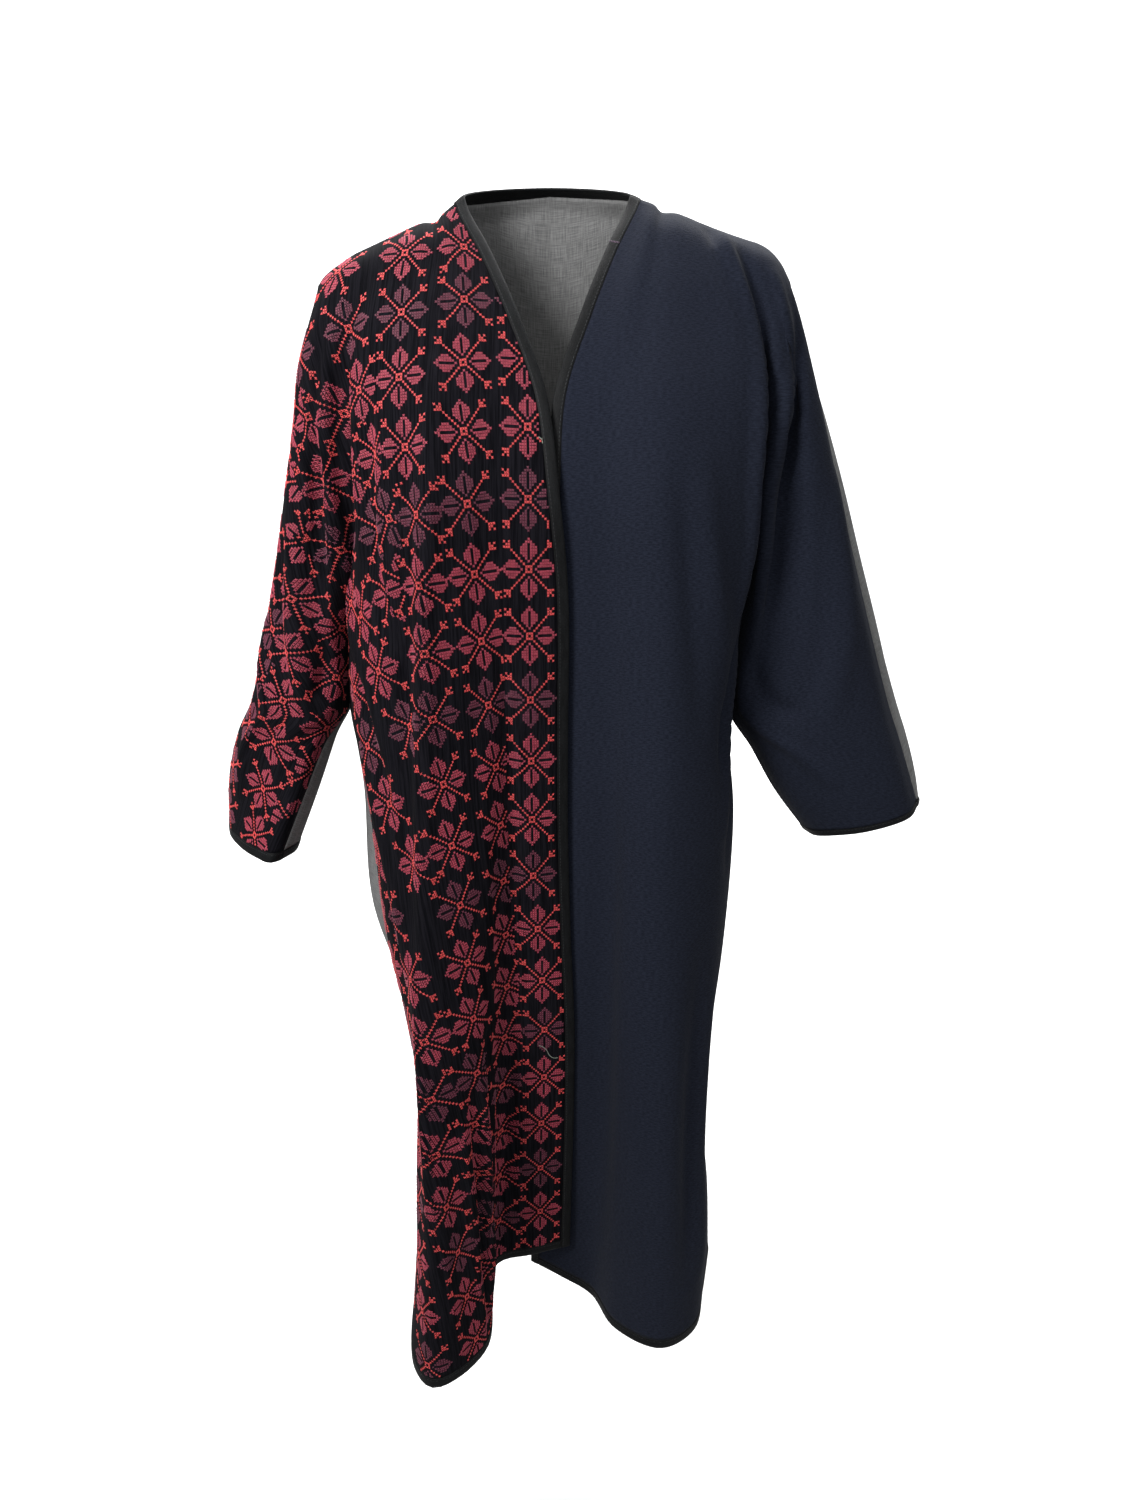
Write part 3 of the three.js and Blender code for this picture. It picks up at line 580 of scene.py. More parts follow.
# %% The back's hanging folds
FOLDS_START = UNDERARM + 190
FOLDS_LENGTH = 850  # they reach their full depth this far below their start


def fold_back(points):
    """Moves points of the back along Y where its hanging folds run."""
    out = points.copy()
    down = np.clip((FOLDS_START - out[..., 2] / MM) / FOLDS_LENGTH, 0, 1)
    for fold in BACK_FOLDS:
        away = (out[..., 0] / MM - mix(fold.topX, fold.hemX, down)) / fold.width
        out[..., 1] += fold.height * MM * down * np.exp(-(away**2))
    return out


crests = [fold.height for fold in BACK_FOLDS if fold.height > 0]
print(f"{len(crests)} folds stand out, the highest by {max(crests)} mm")

# %% [markdown]
# ## From sections to cloth
# A patch is a grid of points. Its rows are close enough that a soft crease stays smooth, about
# 4.5 mm apart. Front and back use the same rows, so their edges meet along every seam.

# %% Rows and columns
UPPER_STEPS = [4, 7, 12, 14, 16, 20, 28]  # rows of cloth in each space between two sections
LOWER_STEPS = [23, 28, 25, 23, 25, 22]
SLEEVE_STEPS = [9, 11, 13]
HEM_SPACE = 95  # between the last two sections of the body
CUFF_SPACE = 58
BODY_COLUMNS = 52
SLEEVE_COLUMNS = 30
NAPE_COLUMNS = 20


def row_places(first, steps, trim=0.0):
    """Places down the lines, with the given steps in each space, ending a little early."""
    places = [first + k + i / n for k, n in enumerate(steps) for i in range(n)]
    places = np.array([*places, first + len(steps)])
    last_section = first + len(steps) - 1
    beyond = places > last_section
    places[beyond] -= (places[beyond] - last_section) * trim
    return places


UPPER_ROWS = row_places(0, UPPER_STEPS)
LOWER_ROWS = row_places(UNDERARM_ROW, LOWER_STEPS, BINDING_WIDTH / HEM_SPACE)
SLEEVE_ROWS = row_places(UNDERARM_ROW, SLEEVE_STEPS, CUFF_BINDING_WIDTH / CUFF_SPACE)
print(f"rows: {len(UPPER_ROWS)} to the underarm, {len(LOWER_ROWS)} to the hem, {len(SLEEVE_ROWS)} to a cuff")

# %% Grids between seams
SAMPLES = 200  # points measured across a section


def between(sections, count, start=0.0, end=None):
    """Points across the sections, from start to end, measured in metres along each."""
    whole = across(sections, np.linspace(0, 1, SAMPLES))
    length = run(whole, 1)
    out = np.empty((len(whole), count + 1, 3))
    for r, row in enumerate(whole):
        at = np.linspace(start, length[r, -1] if end is None else end, count + 1)
        out[r] = follow(length[r], row, at)
    return out


def pull(grid, target, first=False):
    """Moves a grid's last or first column onto a seam, and the columns beside it by less."""
    weight = np.linspace(0, 1, grid.shape[1]) ** 6
    if first:
        weight = weight[::-1]
    column = 0 if first else -1
    return grid + (target - grid[:, column])[:, None, :] * weight[None, :, None]


chest = between(spline(front_sections(RIGHT)[0], [5]), 1)[0]
print(f"the right front is {np.linalg.norm(chest[1] - chest[0]):.3f} m across at the chest, folds left out")

# %% The patches of the fronts
Patches = namedtuple("Patches", "upper lower shoulder sleeve")


def front_patches(half):
    body, sleeve = front_sections(half)
    inset = BINDING_WIDTH * MM
    upper = between(spline(body, UPPER_ROWS), BODY_COLUMNS, inset)
    lower = between(spline(body, LOWER_ROWS), BODY_COLUMNS, inset)
    shoulder = pull(between(spline(sleeve, UPPER_ROWS), SLEEVE_COLUMNS), upper[:, -1], True)
    return Patches(upper, lower, shoulder, between(spline(sleeve, SLEEVE_ROWS), SLEEVE_COLUMNS))


FRONTS = {half.side: front_patches(half) for half in (RIGHT, LEFT)}
print("patches of a front, rows and columns:", [patch.shape[:2] for patch in FRONTS[-1]])

# %% The patches of the back
NECK_FADE = 14  # rows over which the neck's curve runs out into the back


def neckline(half, offset):
    """The line behind the neck, from the middle to the shoulder seam, at a distance outside it."""
    neck_x = half.shoulder[0].x + offset
    angle = np.linspace(0, np.pi / 2, NAPE_COLUMNS + 1)
    y = (NECK_BACK_DEPTH + offset * 0.9) * np.cos(angle)
    rise = (NECK_BACK_RISE - offset * 0.5) * np.cos(angle)
    z = rise + shoulder_height(half, neck_x) * np.sin(angle)
    return outward(half, np.stack([neck_x * np.sin(angle), y, z], 1))


def back_body(sections, rows):
    lines = spline(sections, rows)
    nape = spline(np.swapaxes(lines, 0, 1), np.linspace(0, 1, NAPE_COLUMNS + 1))
    nape = np.swapaxes(nape, 0, 1)
    outer = between(lines[:, 1:], BODY_COLUMNS)
    return fold_back(np.concatenate([nape, outer[:, 1:]], 1))


def back_patches(half, front):
    body, sleeve = back_body_sections(half), back_sleeve_sections(half)
    upper = back_body(body, UPPER_ROWS)
    nape = neckline(half, BINDING_WIDTH)
    top = np.concatenate([nape, front.upper[0, 1:]])
    fade = np.clip(1 - np.arange(len(upper)) / NECK_FADE, 0, 1)[:, None, None] ** 2
    upper = upper + (top - upper[0])[None] * fade
    lower = pull(back_body(body, LOWER_ROWS), front.lower[:, -1])
    upper[-1] = lower[0]
    shoulder = between(spline(sleeve, UPPER_ROWS), SLEEVE_COLUMNS)
    shoulder = pull(pull(shoulder, upper[:, -1], True), front.shoulder[:, -1])
    end = between(spline(sleeve, SLEEVE_ROWS), SLEEVE_COLUMNS)
    end = pull(pull(end, front.sleeve[:, 0], True), front.sleeve[:, -1])
    shoulder[0], end[0] = front.shoulder[0], shoulder[-1]
    return Patches(upper, lower, shoulder, end)


BACKS = {half.side: back_patches(half, FRONTS[half.side]) for half in (RIGHT, LEFT)}
print("patches of half a back, rows and columns:", [patch.shape[:2] for patch in BACKS[-1]])


# %% Where the patches lie on the flat cloth
def flat_patch(start, top, patch):
    """Flat places of a patch. Its first column lies start across, and its first row top down."""
    return np.stack([start + run(patch, 1), top + run(patch, 0)], 2)


def flat_front(half, front):
    """Where each point of a front lies on the cloth before it was sewn, in metres."""
    upper = flat_patch(half.side * front.upper[:, :1, 0], -front.upper[0, :, 2], front.upper)
    lower = flat_patch(half.side * front.lower[:, :1, 0], upper[-1, :, 1], front.lower)
    shoulder = flat_patch(upper[:, -1:, 0], -front.shoulder[0, :, 2], front.shoulder)
    sleeve = flat_patch(shoulder[-1, 0, 0], shoulder[-1, :, 1], front.sleeve)
    return Patches(upper, lower, shoulder, sleeve)


def flat_back(half, back):
    upper = flat_patch(0, -back.upper[0, :, 2], back.upper)
    lower = flat_patch(0, upper[-1, :, 1], back.lower)
    shoulder = flat_patch(upper[:, -1:, 0], -back.shoulder[0, :, 2], back.shoulder)
    sleeve = flat_patch(shoulder[-1, 0, 0], shoulder[-1, :, 1], back.sleeve)
    return Patches(*(flat * [half.side, 1] for flat in (upper, lower, shoulder, sleeve)))


FLAT_FRONTS = {half.side: flat_front(half, FRONTS[half.side]) for half in (RIGHT, LEFT)}
FLAT_BACKS = {half.side: flat_back(half, BACKS[half.side]) for half in (RIGHT, LEFT)}
print(f"the right front lies {FLAT_FRONTS[-1].lower[..., 1].max():.3f} m long when it is flat")

# %% [markdown]
# ## Cloth as a thin shell
# Every patch starts as a flat grid from `create_grid`, and each of its corners is then moved onto
# the patch. The patches of one piece share their borders, so `remove_doubles` joins them. The UV
# map holds each point's place on the flat cloth, in metres: weave and embroidery follow it, and it
# doesn't stretch where the cloth bends. A Solidify modifier gives the wall its thickness last.

# %% How a crease lifts the cloth
# Each crease runs through points of the flat cloth, (across, down) in millimetres. height is how
# far it stands out, or sinks in where it is below 0, and width is half its width.
Crease = namedtuple("Crease", "height width points")
CREASE_POINTS = 40  # points that a crease's smooth line is measured from


def crease_relief(across_mm, down_mm, creases):
    """How far each point moves out, in millimetres."""
    relief = np.zeros_like(across_mm)
    for crease in creases:
        line = smooth_line(crease.points, CREASE_POINTS)
        best = np.full(across_mm.shape, 1e9)
        fade = np.zeros_like(across_mm)
        for i, (p, q) in enumerate(zip(line[:-1], line[1:])):
            along = q - p
            t = ((across_mm - p[0]) * along[0] + (down_mm - p[1]) * along[1]) / (along @ along)
            t = np.clip(t, 0, 1)
            away = np.hypot(across_mm - p[0] - t * along[0], down_mm - p[1] - t * along[1])
            nearer = away < best
            best = np.where(nearer, away, best)
            share = (i + t) / (len(line) - 1)
            fade = np.where(nearer, np.sin(np.pi * np.clip(share, 0, 1)) ** 0.6, fade)
        relief += crease.height * fade * np.exp(-((best / crease.width) ** 2))
    return relief


crease = Crease(6, 9, [(0, 0), (0, 50), (0, 100)])
side_on = crease_relief(np.array([0.0, 9.0, 18.0]), np.full(3, 50.0), [crease])
print("a crease of 6 mm, on its line and one and two half-widths beside it:", side_on.round(1))

# %% Lay a patch
CLOTH = 1.6 * MM
SEAM_FADE = 20 * MM  # creases run out this far from a seam or an edge, so that neighbours meet
EDGES = {  # which sides of each patch are seams or edges
    "front": {"upper": "top left", "lower": "left right bottom", "shoulder": "top right",
              "sleeve": "left right bottom"},
    "back": {"upper": "top", "lower": "right bottom", "shoulder": "top right",
             "sleeve": "left right bottom"},
}


def seam_fade(grid, borders):
    """1 in the middle of a patch, and 0 at its seams and edges."""
    down, out = run(grid, 0), run(grid, 1)
    away = {"top": down, "bottom": down[-1] - down, "left": out, "right": out[:, -1:] - out}
    share = np.ones(grid.shape[:2])
    for border in borders.split():
        share *= np.clip(away[border] / SEAM_FADE, 0, 1)
    return share * (2 - share)


def lay_patch(bm, grid, flat, part, borders=""):
    """One grid of faces with its corners moved onto a patch."""
    uv = bm.loops.layers.uv.active
    fade, crease_share = bm.verts.layers.float["crease_share"], seam_fade(grid, borders)
    flat_a, flat_b = bm.verts.layers.float["across"], bm.verts.layers.float["down"]
    part_of = bm.faces.layers.int["part"]
    rows, columns = grid.shape[0] - 1, grid.shape[1] - 1
    made = bmesh.ops.create_grid(bm, x_segments=columns, y_segments=rows, size=0.5)
    where = {}
    for vert in made["verts"]:
        r, c = round((vert.co.y + 0.5) * rows), round((vert.co.x + 0.5) * columns)
        where[vert] = flat[r, c]
        vert.co = grid[r, c]
        vert[flat_a], vert[flat_b] = flat[r, c]
        vert[fade] = crease_share[r, c]
    for face in {face for vert in made["verts"] for face in vert.link_faces}:
        face[part_of] = Patches._fields.index(part)
        for loop in face.loops:
            loop[uv].uv = where[loop.vert]


def lay_patches(bm, patches, flats, edges):
    for part, grid, flat in zip(Patches._fields, patches, flats):
        lay_patch(bm, grid, flat, part, edges[part])


print(f"creases run out {SEAM_FADE / MM:.0f} mm from a seam")

# %% Sew the patches up
SEWN = 0.05 * MM  # points that lie closer than this are joined


def new_cloth_bmesh():
    bm = bmesh.new()
    bm.loops.layers.uv.new("flat_cloth")
    bm.verts.layers.float.new("across")
    bm.verts.layers.float.new("down")
    bm.verts.layers.float.new("crease_share")
    bm.faces.layers.int.new("part")
    return bm


def sew_up(bm, faces_front, creases):
    """Joins the patches, turns every face outwards and lays the creases in."""
    bmesh.ops.remove_doubles(bm, verts=bm.verts, dist=SEWN)
    bmesh.ops.recalc_face_normals(bm, faces=bm.faces)
    facing = sum(face.normal.y * face.calc_area() for face in bm.faces)
    if (facing < 0) != faces_front:
        bmesh.ops.reverse_faces(bm, faces=bm.faces)
    bm.normal_update()
    layers = bm.verts.layers.float
    a = np.array([vert[layers["across"]] for vert in bm.verts]) / MM
    b = np.array([vert[layers["down"]] for vert in bm.verts]) / MM
    share = np.array([vert[layers["crease_share"]] for vert in bm.verts])
    for vert, height in zip(bm.verts, crease_relief(a, b, creases) * share * MM):
        vert.co += vert.normal * float(height)
    bm.normal_update()


print(f"points within {SEWN / MM} mm are sewn together")


def finish_cloth(bm, name, nodes, material, thickness=CLOTH):
    """Makes the object of a bmesh, gives it its wall, and hides the solids it stands for."""
    area = sum(face.calc_area() for face in bm.faces)
    mesh = bpy.data.meshes.new(name)
    bm.to_mesh(mesh)
    bm.free()
    mesh.shade_smooth()
    mesh.materials.append(material)
    piece = bpy.data.objects.new(name, mesh)
    bpy.context.scene.collection.objects.link(piece)
    wall = piece.modifiers.new("wall", "SOLIDIFY")
    wall.thickness = thickness
    wall.offset = 0
    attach(piece, "root")
    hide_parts(*nodes)
    return piece


print(f"cloth is {CLOTH / MM:.1f} mm thick")

# %% [markdown]
# ## Node groups that several cloths share
# Woven cloth is never one flat colour. A group holds an effect once, with named inputs, and each
# material sets its own values. One group makes threads. They read the flat-cloth UV map, so they
# run with the cloth. The other makes the soft cloud of a dye that took unevenly.

# %% Threads that run one way
def socket_group(name, inputs, outputs):
    group = bpy.data.node_groups.new(name, "ShaderNodeTree")
    for label, kind, value in inputs:
        item = group.interface.new_socket(label, in_out="INPUT", socket_type=kind)
        if value is not None:
            item.default_value = value
    for label, kind in outputs:
        group.interface.new_socket(label, in_out="OUTPUT", socket_type=kind)
    return group, group.nodes.new("NodeGroupInput"), group.nodes.new("NodeGroupOutput")


def threads_group():
    """Long thin noise, as a mask and as a height."""
    group, start, end = socket_group(
        "threads",
        [
            ("Flat Place", "NodeSocketVector", None),
            ("Threads Across", "NodeSocketFloat", 500.0),
            ("Threads Down", "NodeSocketFloat", 20.0),
            ("Contrast", "NodeSocketFloat", 1.0),
        ],
        [("Mask", "NodeSocketFloat")],
    )
    link = group.links.new
    scale = node(group, "ShaderNodeCombineXYZ")
    link(start.outputs["Threads Across"], scale.inputs["X"])
    link(start.outputs["Threads Down"], scale.inputs["Y"])
    stretch = node(group, "ShaderNodeVectorMath", operation="MULTIPLY")
    link(start.outputs["Flat Place"], stretch.inputs[0])
    link(scale.outputs[0], stretch.inputs[1])
    noise = node(group, "ShaderNodeTexNoise", noise_dimensions="2D", Scale=1.0, Detail=2.0)
    link(stretch.outputs[0], noise.inputs["Vector"])
    centred = node(group, "ShaderNodeMath", operation="SUBTRACT")
    link(noise.outputs["Fac"], centred.inputs[0])
    centred.inputs[1].default_value = 0.5
    scaled = node(group, "ShaderNodeMath", operation="MULTIPLY_ADD")
    link(centred.outputs[0], scaled.inputs[0])
    link(start.outputs["Contrast"], scaled.inputs[1])
    scaled.inputs[2].default_value = 0.5
    clamp = node(group, "ShaderNodeClamp")
    link(scaled.outputs[0], clamp.inputs["Value"])
    link(clamp.outputs[0], end.inputs["Mask"])
    return group


THREADS = threads_group()
print("group", THREADS.name, "has", len(THREADS.nodes), "nodes")


# %% Dye that took unevenly
def dye_group():
    """A soft cloud of noise: here the dye took more, and there less."""
    group, start, end = socket_group(
        "uneven_dye",
        [
            ("Place", "NodeSocketVector", None),
            ("Scale", "NodeSocketFloat", 9.0),
            ("Detail", "NodeSocketFloat", 3.0),
        ],
        [("Mask", "NodeSocketFloat")],
    )
    cloud = node(group, "ShaderNodeTexNoise")
    for given, wanted in (("Place", "Vector"), ("Scale", "Scale"), ("Detail", "Detail")):
        group.links.new(start.outputs[given], cloud.inputs[wanted])
    group.links.new(cloud.outputs["Fac"], end.inputs["Mask"])
    return group


UNEVEN_DYE = dye_group()


def uneven_dye(tree, scale, detail):
    """The dye group on the object's own places."""
    place = node(tree, "ShaderNodeTexCoord")
    dye = node(tree, "ShaderNodeGroup", node_tree=UNEVEN_DYE, Scale=scale, Detail=detail)
    tree.links.new(place.outputs["Object"], dye.inputs["Place"])
    return dye.outputs["Mask"]


def color_between(tree, mask, dark_at, dark, light_at, light):
    """A colour that goes from dark to light as the mask rises from dark_at to light_at."""
    colors = node(tree, "ShaderNodeValToRGB")
    for stop, position, color in zip(colors.color_ramp.elements, (dark_at, light_at), (dark, light)):
        stop.position = position
        stop.color = (*color, 1)
    tree.links.new(mask, colors.inputs["Fac"])
    return colors.outputs["Color"]


print("group", UNEVEN_DYE.name, "has", len(UNEVEN_DYE.nodes), "nodes")

# %% Woven cloth
CLOTH_DYE = {"scale": 9.0, "detail": 3.0}
WEAVE_DEPTH = 0.0006  # metres, for the bump


def weave(tree, layers):
    """Sets of threads, added up by their shares of the whole."""
    uv = node(tree, "ShaderNodeUVMap", uv_map="flat_cloth")
    total = None
    for across_count, down_count, contrast, share in layers:
        threads = node(
            tree, "ShaderNodeGroup", node_tree=THREADS,
            Threads_Across=across_count, Threads_Down=down_count, Contrast=contrast,
        )
        tree.links.new(uv.outputs["UV"], threads.inputs["Flat Place"])
        part = node(tree, "ShaderNodeMath", operation="MULTIPLY_ADD")
        tree.links.new(threads.outputs["Mask"], part.inputs[0])
        part.inputs[1].default_value = share
        part.inputs[2].default_value = 0.0
        if total is not None:
            tree.links.new(total, part.inputs[2])
        total = part.outputs[0]
    return total


def cloth_material(name, dark, light, rough, layers, bump, gloss=0.08, sheen=0.02, mottle=0.15):
    """Woven cloth. layers are (threads across, threads down, contrast, share) per metre."""
    material, tree, shader = new_material(name)
    threads = weave(tree, layers)
    shade = node(tree, "ShaderNodeMath", operation="MULTIPLY_ADD")
    tree.links.new(uneven_dye(tree, **CLOTH_DYE), shade.inputs[0])
    shade.inputs[1].default_value = mottle
    tree.links.new(threads, shade.inputs[2])
    color = color_between(tree, shade.outputs[0], 0.25, dark, 0.85, light)
    tree.links.new(color, shader.inputs["Base Color"])
    relief = node(tree, "ShaderNodeBump", Strength=bump, Distance=WEAVE_DEPTH)
    tree.links.new(threads, relief.inputs["Height"])
    tree.links.new(relief.outputs["Normal"], shader.inputs["Normal"])
    shader.inputs["Roughness"].default_value = rough
    shader.inputs["Specular IOR Level"].default_value = gloss
    shader.inputs["Sheen Weight"].default_value = sheen
    shader.inputs["Sheen Roughness"].default_value = 0.5
    return material


print(f"the weave is {1000 * WEAVE_DEPTH:.1f} mm deep to the light")

# %% [markdown]
# ## The three cloths
# The black front is a thin ribbed cloth: fine ridges run down it, a little uneven. The navy one is
# a crepe, whose tiny grain lies across. The grey back is a linen with slubs, threads that are
# thicker here and there.

# %% Materials of the cloths
BLACK_CLOTH = cloth_material(
    "black_ribbed_cloth", (0.0016, 0.0016, 0.0028), (0.0075, 0.0070, 0.0098), 0.9,
    [(520, 14, 3.0, 0.6), (1500, 60, 2.0, 0.4)], 0.55, gloss=0.06, sheen=0.01,
)
NAVY_CREPE = cloth_material(
    "navy_crepe", (0.0070, 0.0088, 0.0160), (0.0145, 0.0178, 0.0300), 0.85,
    [(260, 900, 2.5, 0.6), (900, 1800, 2.0, 0.4)], 0.45,
)
GREY_LINEN = cloth_material(
    "grey_linen", (0.130, 0.130, 0.130), (0.235, 0.235, 0.232), 0.9,
    [(1500, 60, 3.0, 0.5), (60, 1600, 3.0, 0.5)], 0.4, sheen=0.05,
)
print("cloths:", [cloth.name for cloth in (BLACK_CLOTH, NAVY_CREPE, GREY_LINEN)])

# %% [markdown]
# ## Where the cloth creases
# Cloth that hangs from shoulders falls in long soft ridges, and a hollow runs beside most of them.
# No two are alike, so each is one row: how far it stands out, its half-width, and its line on the
# flat cloth, in millimetres from the middle of the front and down from the neck.

# %% Creases of the right front
RIGHT_CREASES = [
    # the crest of the big fold, and the hollow behind it
    Crease(8, 9, [(96, 170), (99, 254), (108, 379), (113, 467), (121, 559), (131, 655), (150, 780)]),
    Crease(-9, 12, [(118, 200), (124, 300), (130, 400), (137, 500), (146, 600), (158, 720)]),
    Crease(6, 9, [(150, 700), (165, 830), (178, 960), (184, 1090), (186, 1160)]),
    # the hollow beside the front edge
    Crease(-9, 8, [(42, 380), (39, 461), (38, 518), (36, 619), (35, 728), (38, 850)]),
    Crease(5, 8, [(60, 470), (62, 560), (66, 660), (70, 760), (76, 850)]),
    Crease(-8, 7, [(38, 800), (44, 920), (50, 1010), (54, 1110)]),
    # pleats pressed together over the hem
    Crease(-11, 5.5, [(84, 800), (96, 900), (104, 990), (110, 1130)]),
    Crease(10, 5, [(98, 830), (108, 912), (117, 1010), (122, 1150)]),
    Crease(-11, 5.5, [(116, 850), (124, 940), (131, 1030), (136, 1160)]),
    Crease(8, 5, [(134, 880), (141, 960), (147, 1050), (151, 1160)]),
    Crease(6, 6, [(70, 860), (78, 960), (86, 1060), (92, 1120)]),
    # drag lines from the shoulder towards the underarm
    Crease(-6, 8, [(158, 190), (162, 240), (166, 300), (158, 370), (146, 430)]),
    Crease(6, 9, [(178, 120), (182, 190), (188, 270), (186, 340)]),
    Crease(-6, 9, [(187, 130), (206, 194), (228, 262), (232, 330)]),
    Crease(-6, 9, [(262, 190), (252, 240), (258, 285), (266, 340), (268, 420)]),
    Crease(5, 9, [(240, 250), (238, 330), (226, 400), (200, 460)]),
    Crease(-7, 9, [(236, 420), (206, 470), (176, 540), (160, 600)]),
    Crease(5, 10, [(222, 500), (198, 570), (180, 660), (176, 740)]),
    Crease(-5, 10, [(212, 620), (196, 700), (190, 780)]),
    Crease(4, 12, [(215, 780), (222, 880), (228, 990), (226, 1080)]),
    # the sleeve
    Crease(5, 10, [(290, 250), (300, 330), (318, 410), (330, 480)]),
    Crease(-6, 8, [(310, 300), (326, 380), (346, 450), (352, 530)]),
    Crease(6, 8, [(360, 380), (382, 450), (376, 532), (369, 590)]),
    Crease(-6, 7, [(285, 400), (300, 440), (330, 470)]),
    Crease(4, 8, [(284, 440), (306, 474), (342, 500)]),
]
print(f"right front: {len(RIGHT_CREASES)} creases")

# %% Creases of the left front
LEFT_CREASES = [
    # soft fold in the middle of the front
    Crease(5, 13, [(134, 240), (148, 328), (157, 374), (170, 411), (182, 480)]),
    Crease(-4, 12, [(112, 260), (124, 340), (136, 420), (150, 500)]),
    # the two long folds that hang from the shoulder
    Crease(10, 7, [(150, 30), (167, 80), (184, 148), (188, 200), (192, 258), (198, 330), (190, 400)]),
    Crease(-12, 8, [(172, 60), (196, 130), (206, 200), (212, 270), (216, 340), (208, 410)]),
    Crease(9, 7, [(204, 80), (214, 120), (230, 160), (236, 212), (246, 262), (262, 335), (274, 390)]),
    Crease(-9, 8, [(228, 100), (246, 160), (256, 220), (268, 290), (284, 360), (290, 420)]),
    Crease(4, 5, [(188, 112), (194, 133), (204, 155), (214, 172)]),
    Crease(-4, 7, [(143, 26), (148, 44), (152, 66)]),
    # drag lines that fan out from the underarm
    Crease(-9, 8, [(228, 380), (214, 420), (196, 470), (184, 540)]),
    Crease(6, 8, [(240, 420), (220, 470), (202, 530), (196, 610)]),
    Crease(-5, 9, [(232, 500), (218, 570), (210, 650)]),
    # the skirt
    Crease(6, 14, [(196, 760), (202, 900), (210, 1020), (212, 1120)]),
    Crease(-7, 13, [(168, 700), (176, 860), (184, 1000), (186, 1120)]),
    Crease(4, 20, [(100, 520), (104, 700), (112, 900), (116, 1090)]),
    Crease(-4, 18, [(62, 560), (60, 760), (66, 940), (70, 1100)]),
    # the sleeve
    Crease(-8, 8, [(292, 400), (300, 440), (330, 470), (356, 480)]),
    Crease(6, 8, [(284, 430), (302, 480), (336, 520), (352, 560)]),
    Crease(4, 12, [(330, 240), (352, 330), (378, 420), (392, 520)]),
    Crease(-4, 12, [(306, 260), (330, 350), (352, 430), (360, 500)]),
]
print(f"left front: {len(LEFT_CREASES)} creases")

# %% Creases of the back
BACK_CREASES = [
    Crease(-5, 12, [(-176, 90), (-166, 180), (-170, 280), (-196, 380), (-214, 450)]),
    Crease(5, 12, [(-200, 110), (-192, 200), (-204, 300), (-232, 400)]),
    Crease(-6, 12, [(182, 80), (172, 170), (174, 260), (196, 350), (214, 440)]),
    Crease(4, 13, [(206, 120), (196, 210), (206, 310), (236, 410)]),
    Crease(3, 16, [(-60, 60), (-84, 150), (-100, 260), (-104, 380)]),
    Crease(-3, 15, [(-20, 90), (-34, 220), (-50, 360), (-52, 470)]),
    Crease(3, 16, [(48, 70), (70, 170), (88, 300), (92, 420)]),
    Crease(-3, 14, [(112, 90), (118, 190), (124, 300), (120, 400)]),
    Crease(-5, 10, [(-236, 420), (-208, 480), (-186, 560), (-176, 650)]),
    Crease(4, 10, [(-250, 460), (-222, 530), (-204, 620)]),
    Crease(-5, 10, [(232, 430), (206, 500), (190, 600)]),
    Crease(4, 11, [(222, 520), (204, 620), (196, 740)]),
    Crease(-4, 10, [(-284, 330), (-300, 400), (-330, 450), (-350, 500)]),
    Crease(4, 10, [(-300, 440), (-330, 490), (-346, 560)]),
    Crease(-4, 10, [(280, 340), (300, 420), (334, 470), (352, 520)]),
    Crease(4, 11, [(296, 460), (328, 510), (350, 550)]),
    Crease(4, 18, [(-140, 700), (-132, 840), (-140, 980), (-138, 1100)]),
    Crease(-4, 16, [(14, 640), (22, 800), (12, 960), (18, 1100)]),
    Crease(4, 17, [(70, 760), (62, 900), (68, 1040), (64, 1110)]),
]
print(f"back: {len(BACK_CREASES)} creases")

# %% [markdown]
# ## Three pieces of cloth
# A maker cuts two fronts and a back and sews them together. Here too each is an object of its own.
# The surface of the right front is kept before its wall gets its thickness, because the stitches
# are laid on it later.

# %% The cloth's surface, kept for the stitches
Surface = namedtuple("Surface", "tree places normals flats triangles")


def cloth_surface(bm, parts):
    """The triangles of some parts of a piece, with a search tree over them laid flat."""
    layers, part_of = bm.verts.layers.float, bm.faces.layers.int["part"]
    bm.verts.ensure_lookup_table()
    flats = [(v[layers["across"]] / MM, v[layers["down"]] / MM, 0) for v in bm.verts]
    wanted = [Patches._fields.index(part) for part in parts]
    triangles = []
    for face in bm.faces:
        if face[part_of] in wanted:
            corners = [vert.index for vert in face.verts]
            triangles += [(corners[0], *corners[i : i + 2]) for i in range(1, len(corners) - 1)]
    return Surface(
        BVHTree.FromPolygons(flats, triangles),
        np.array([vert.co for vert in bm.verts]),
        np.array([vert.normal for vert in bm.verts]),
        np.array(flats)[:, :2],
        np.array(triangles),
    )


print("a surface keeps its", ", ".join(Surface._fields))


# %% The fronts
def front_cloth(half, creases):
    bm = new_cloth_bmesh()
    lay_patches(bm, FRONTS[half.side], FLAT_FRONTS[half.side], EDGES["front"])
    sew_up(bm, True, creases)
    return bm


right_bm = front_cloth(RIGHT, RIGHT_CREASES)
SURFACES = {
    "body": cloth_surface(right_bm, ("upper", "lower", "shoulder")),
    "sleeve": cloth_surface(right_bm, ("upper", "shoulder", "sleeve")),
}
finish_cloth(right_bm, "right_front_cloth", ["front_right"], BLACK_CLOTH)
finish_cloth(front_cloth(LEFT, LEFT_CREASES), "left_front_cloth", ["front_left"], NAVY_CREPE)

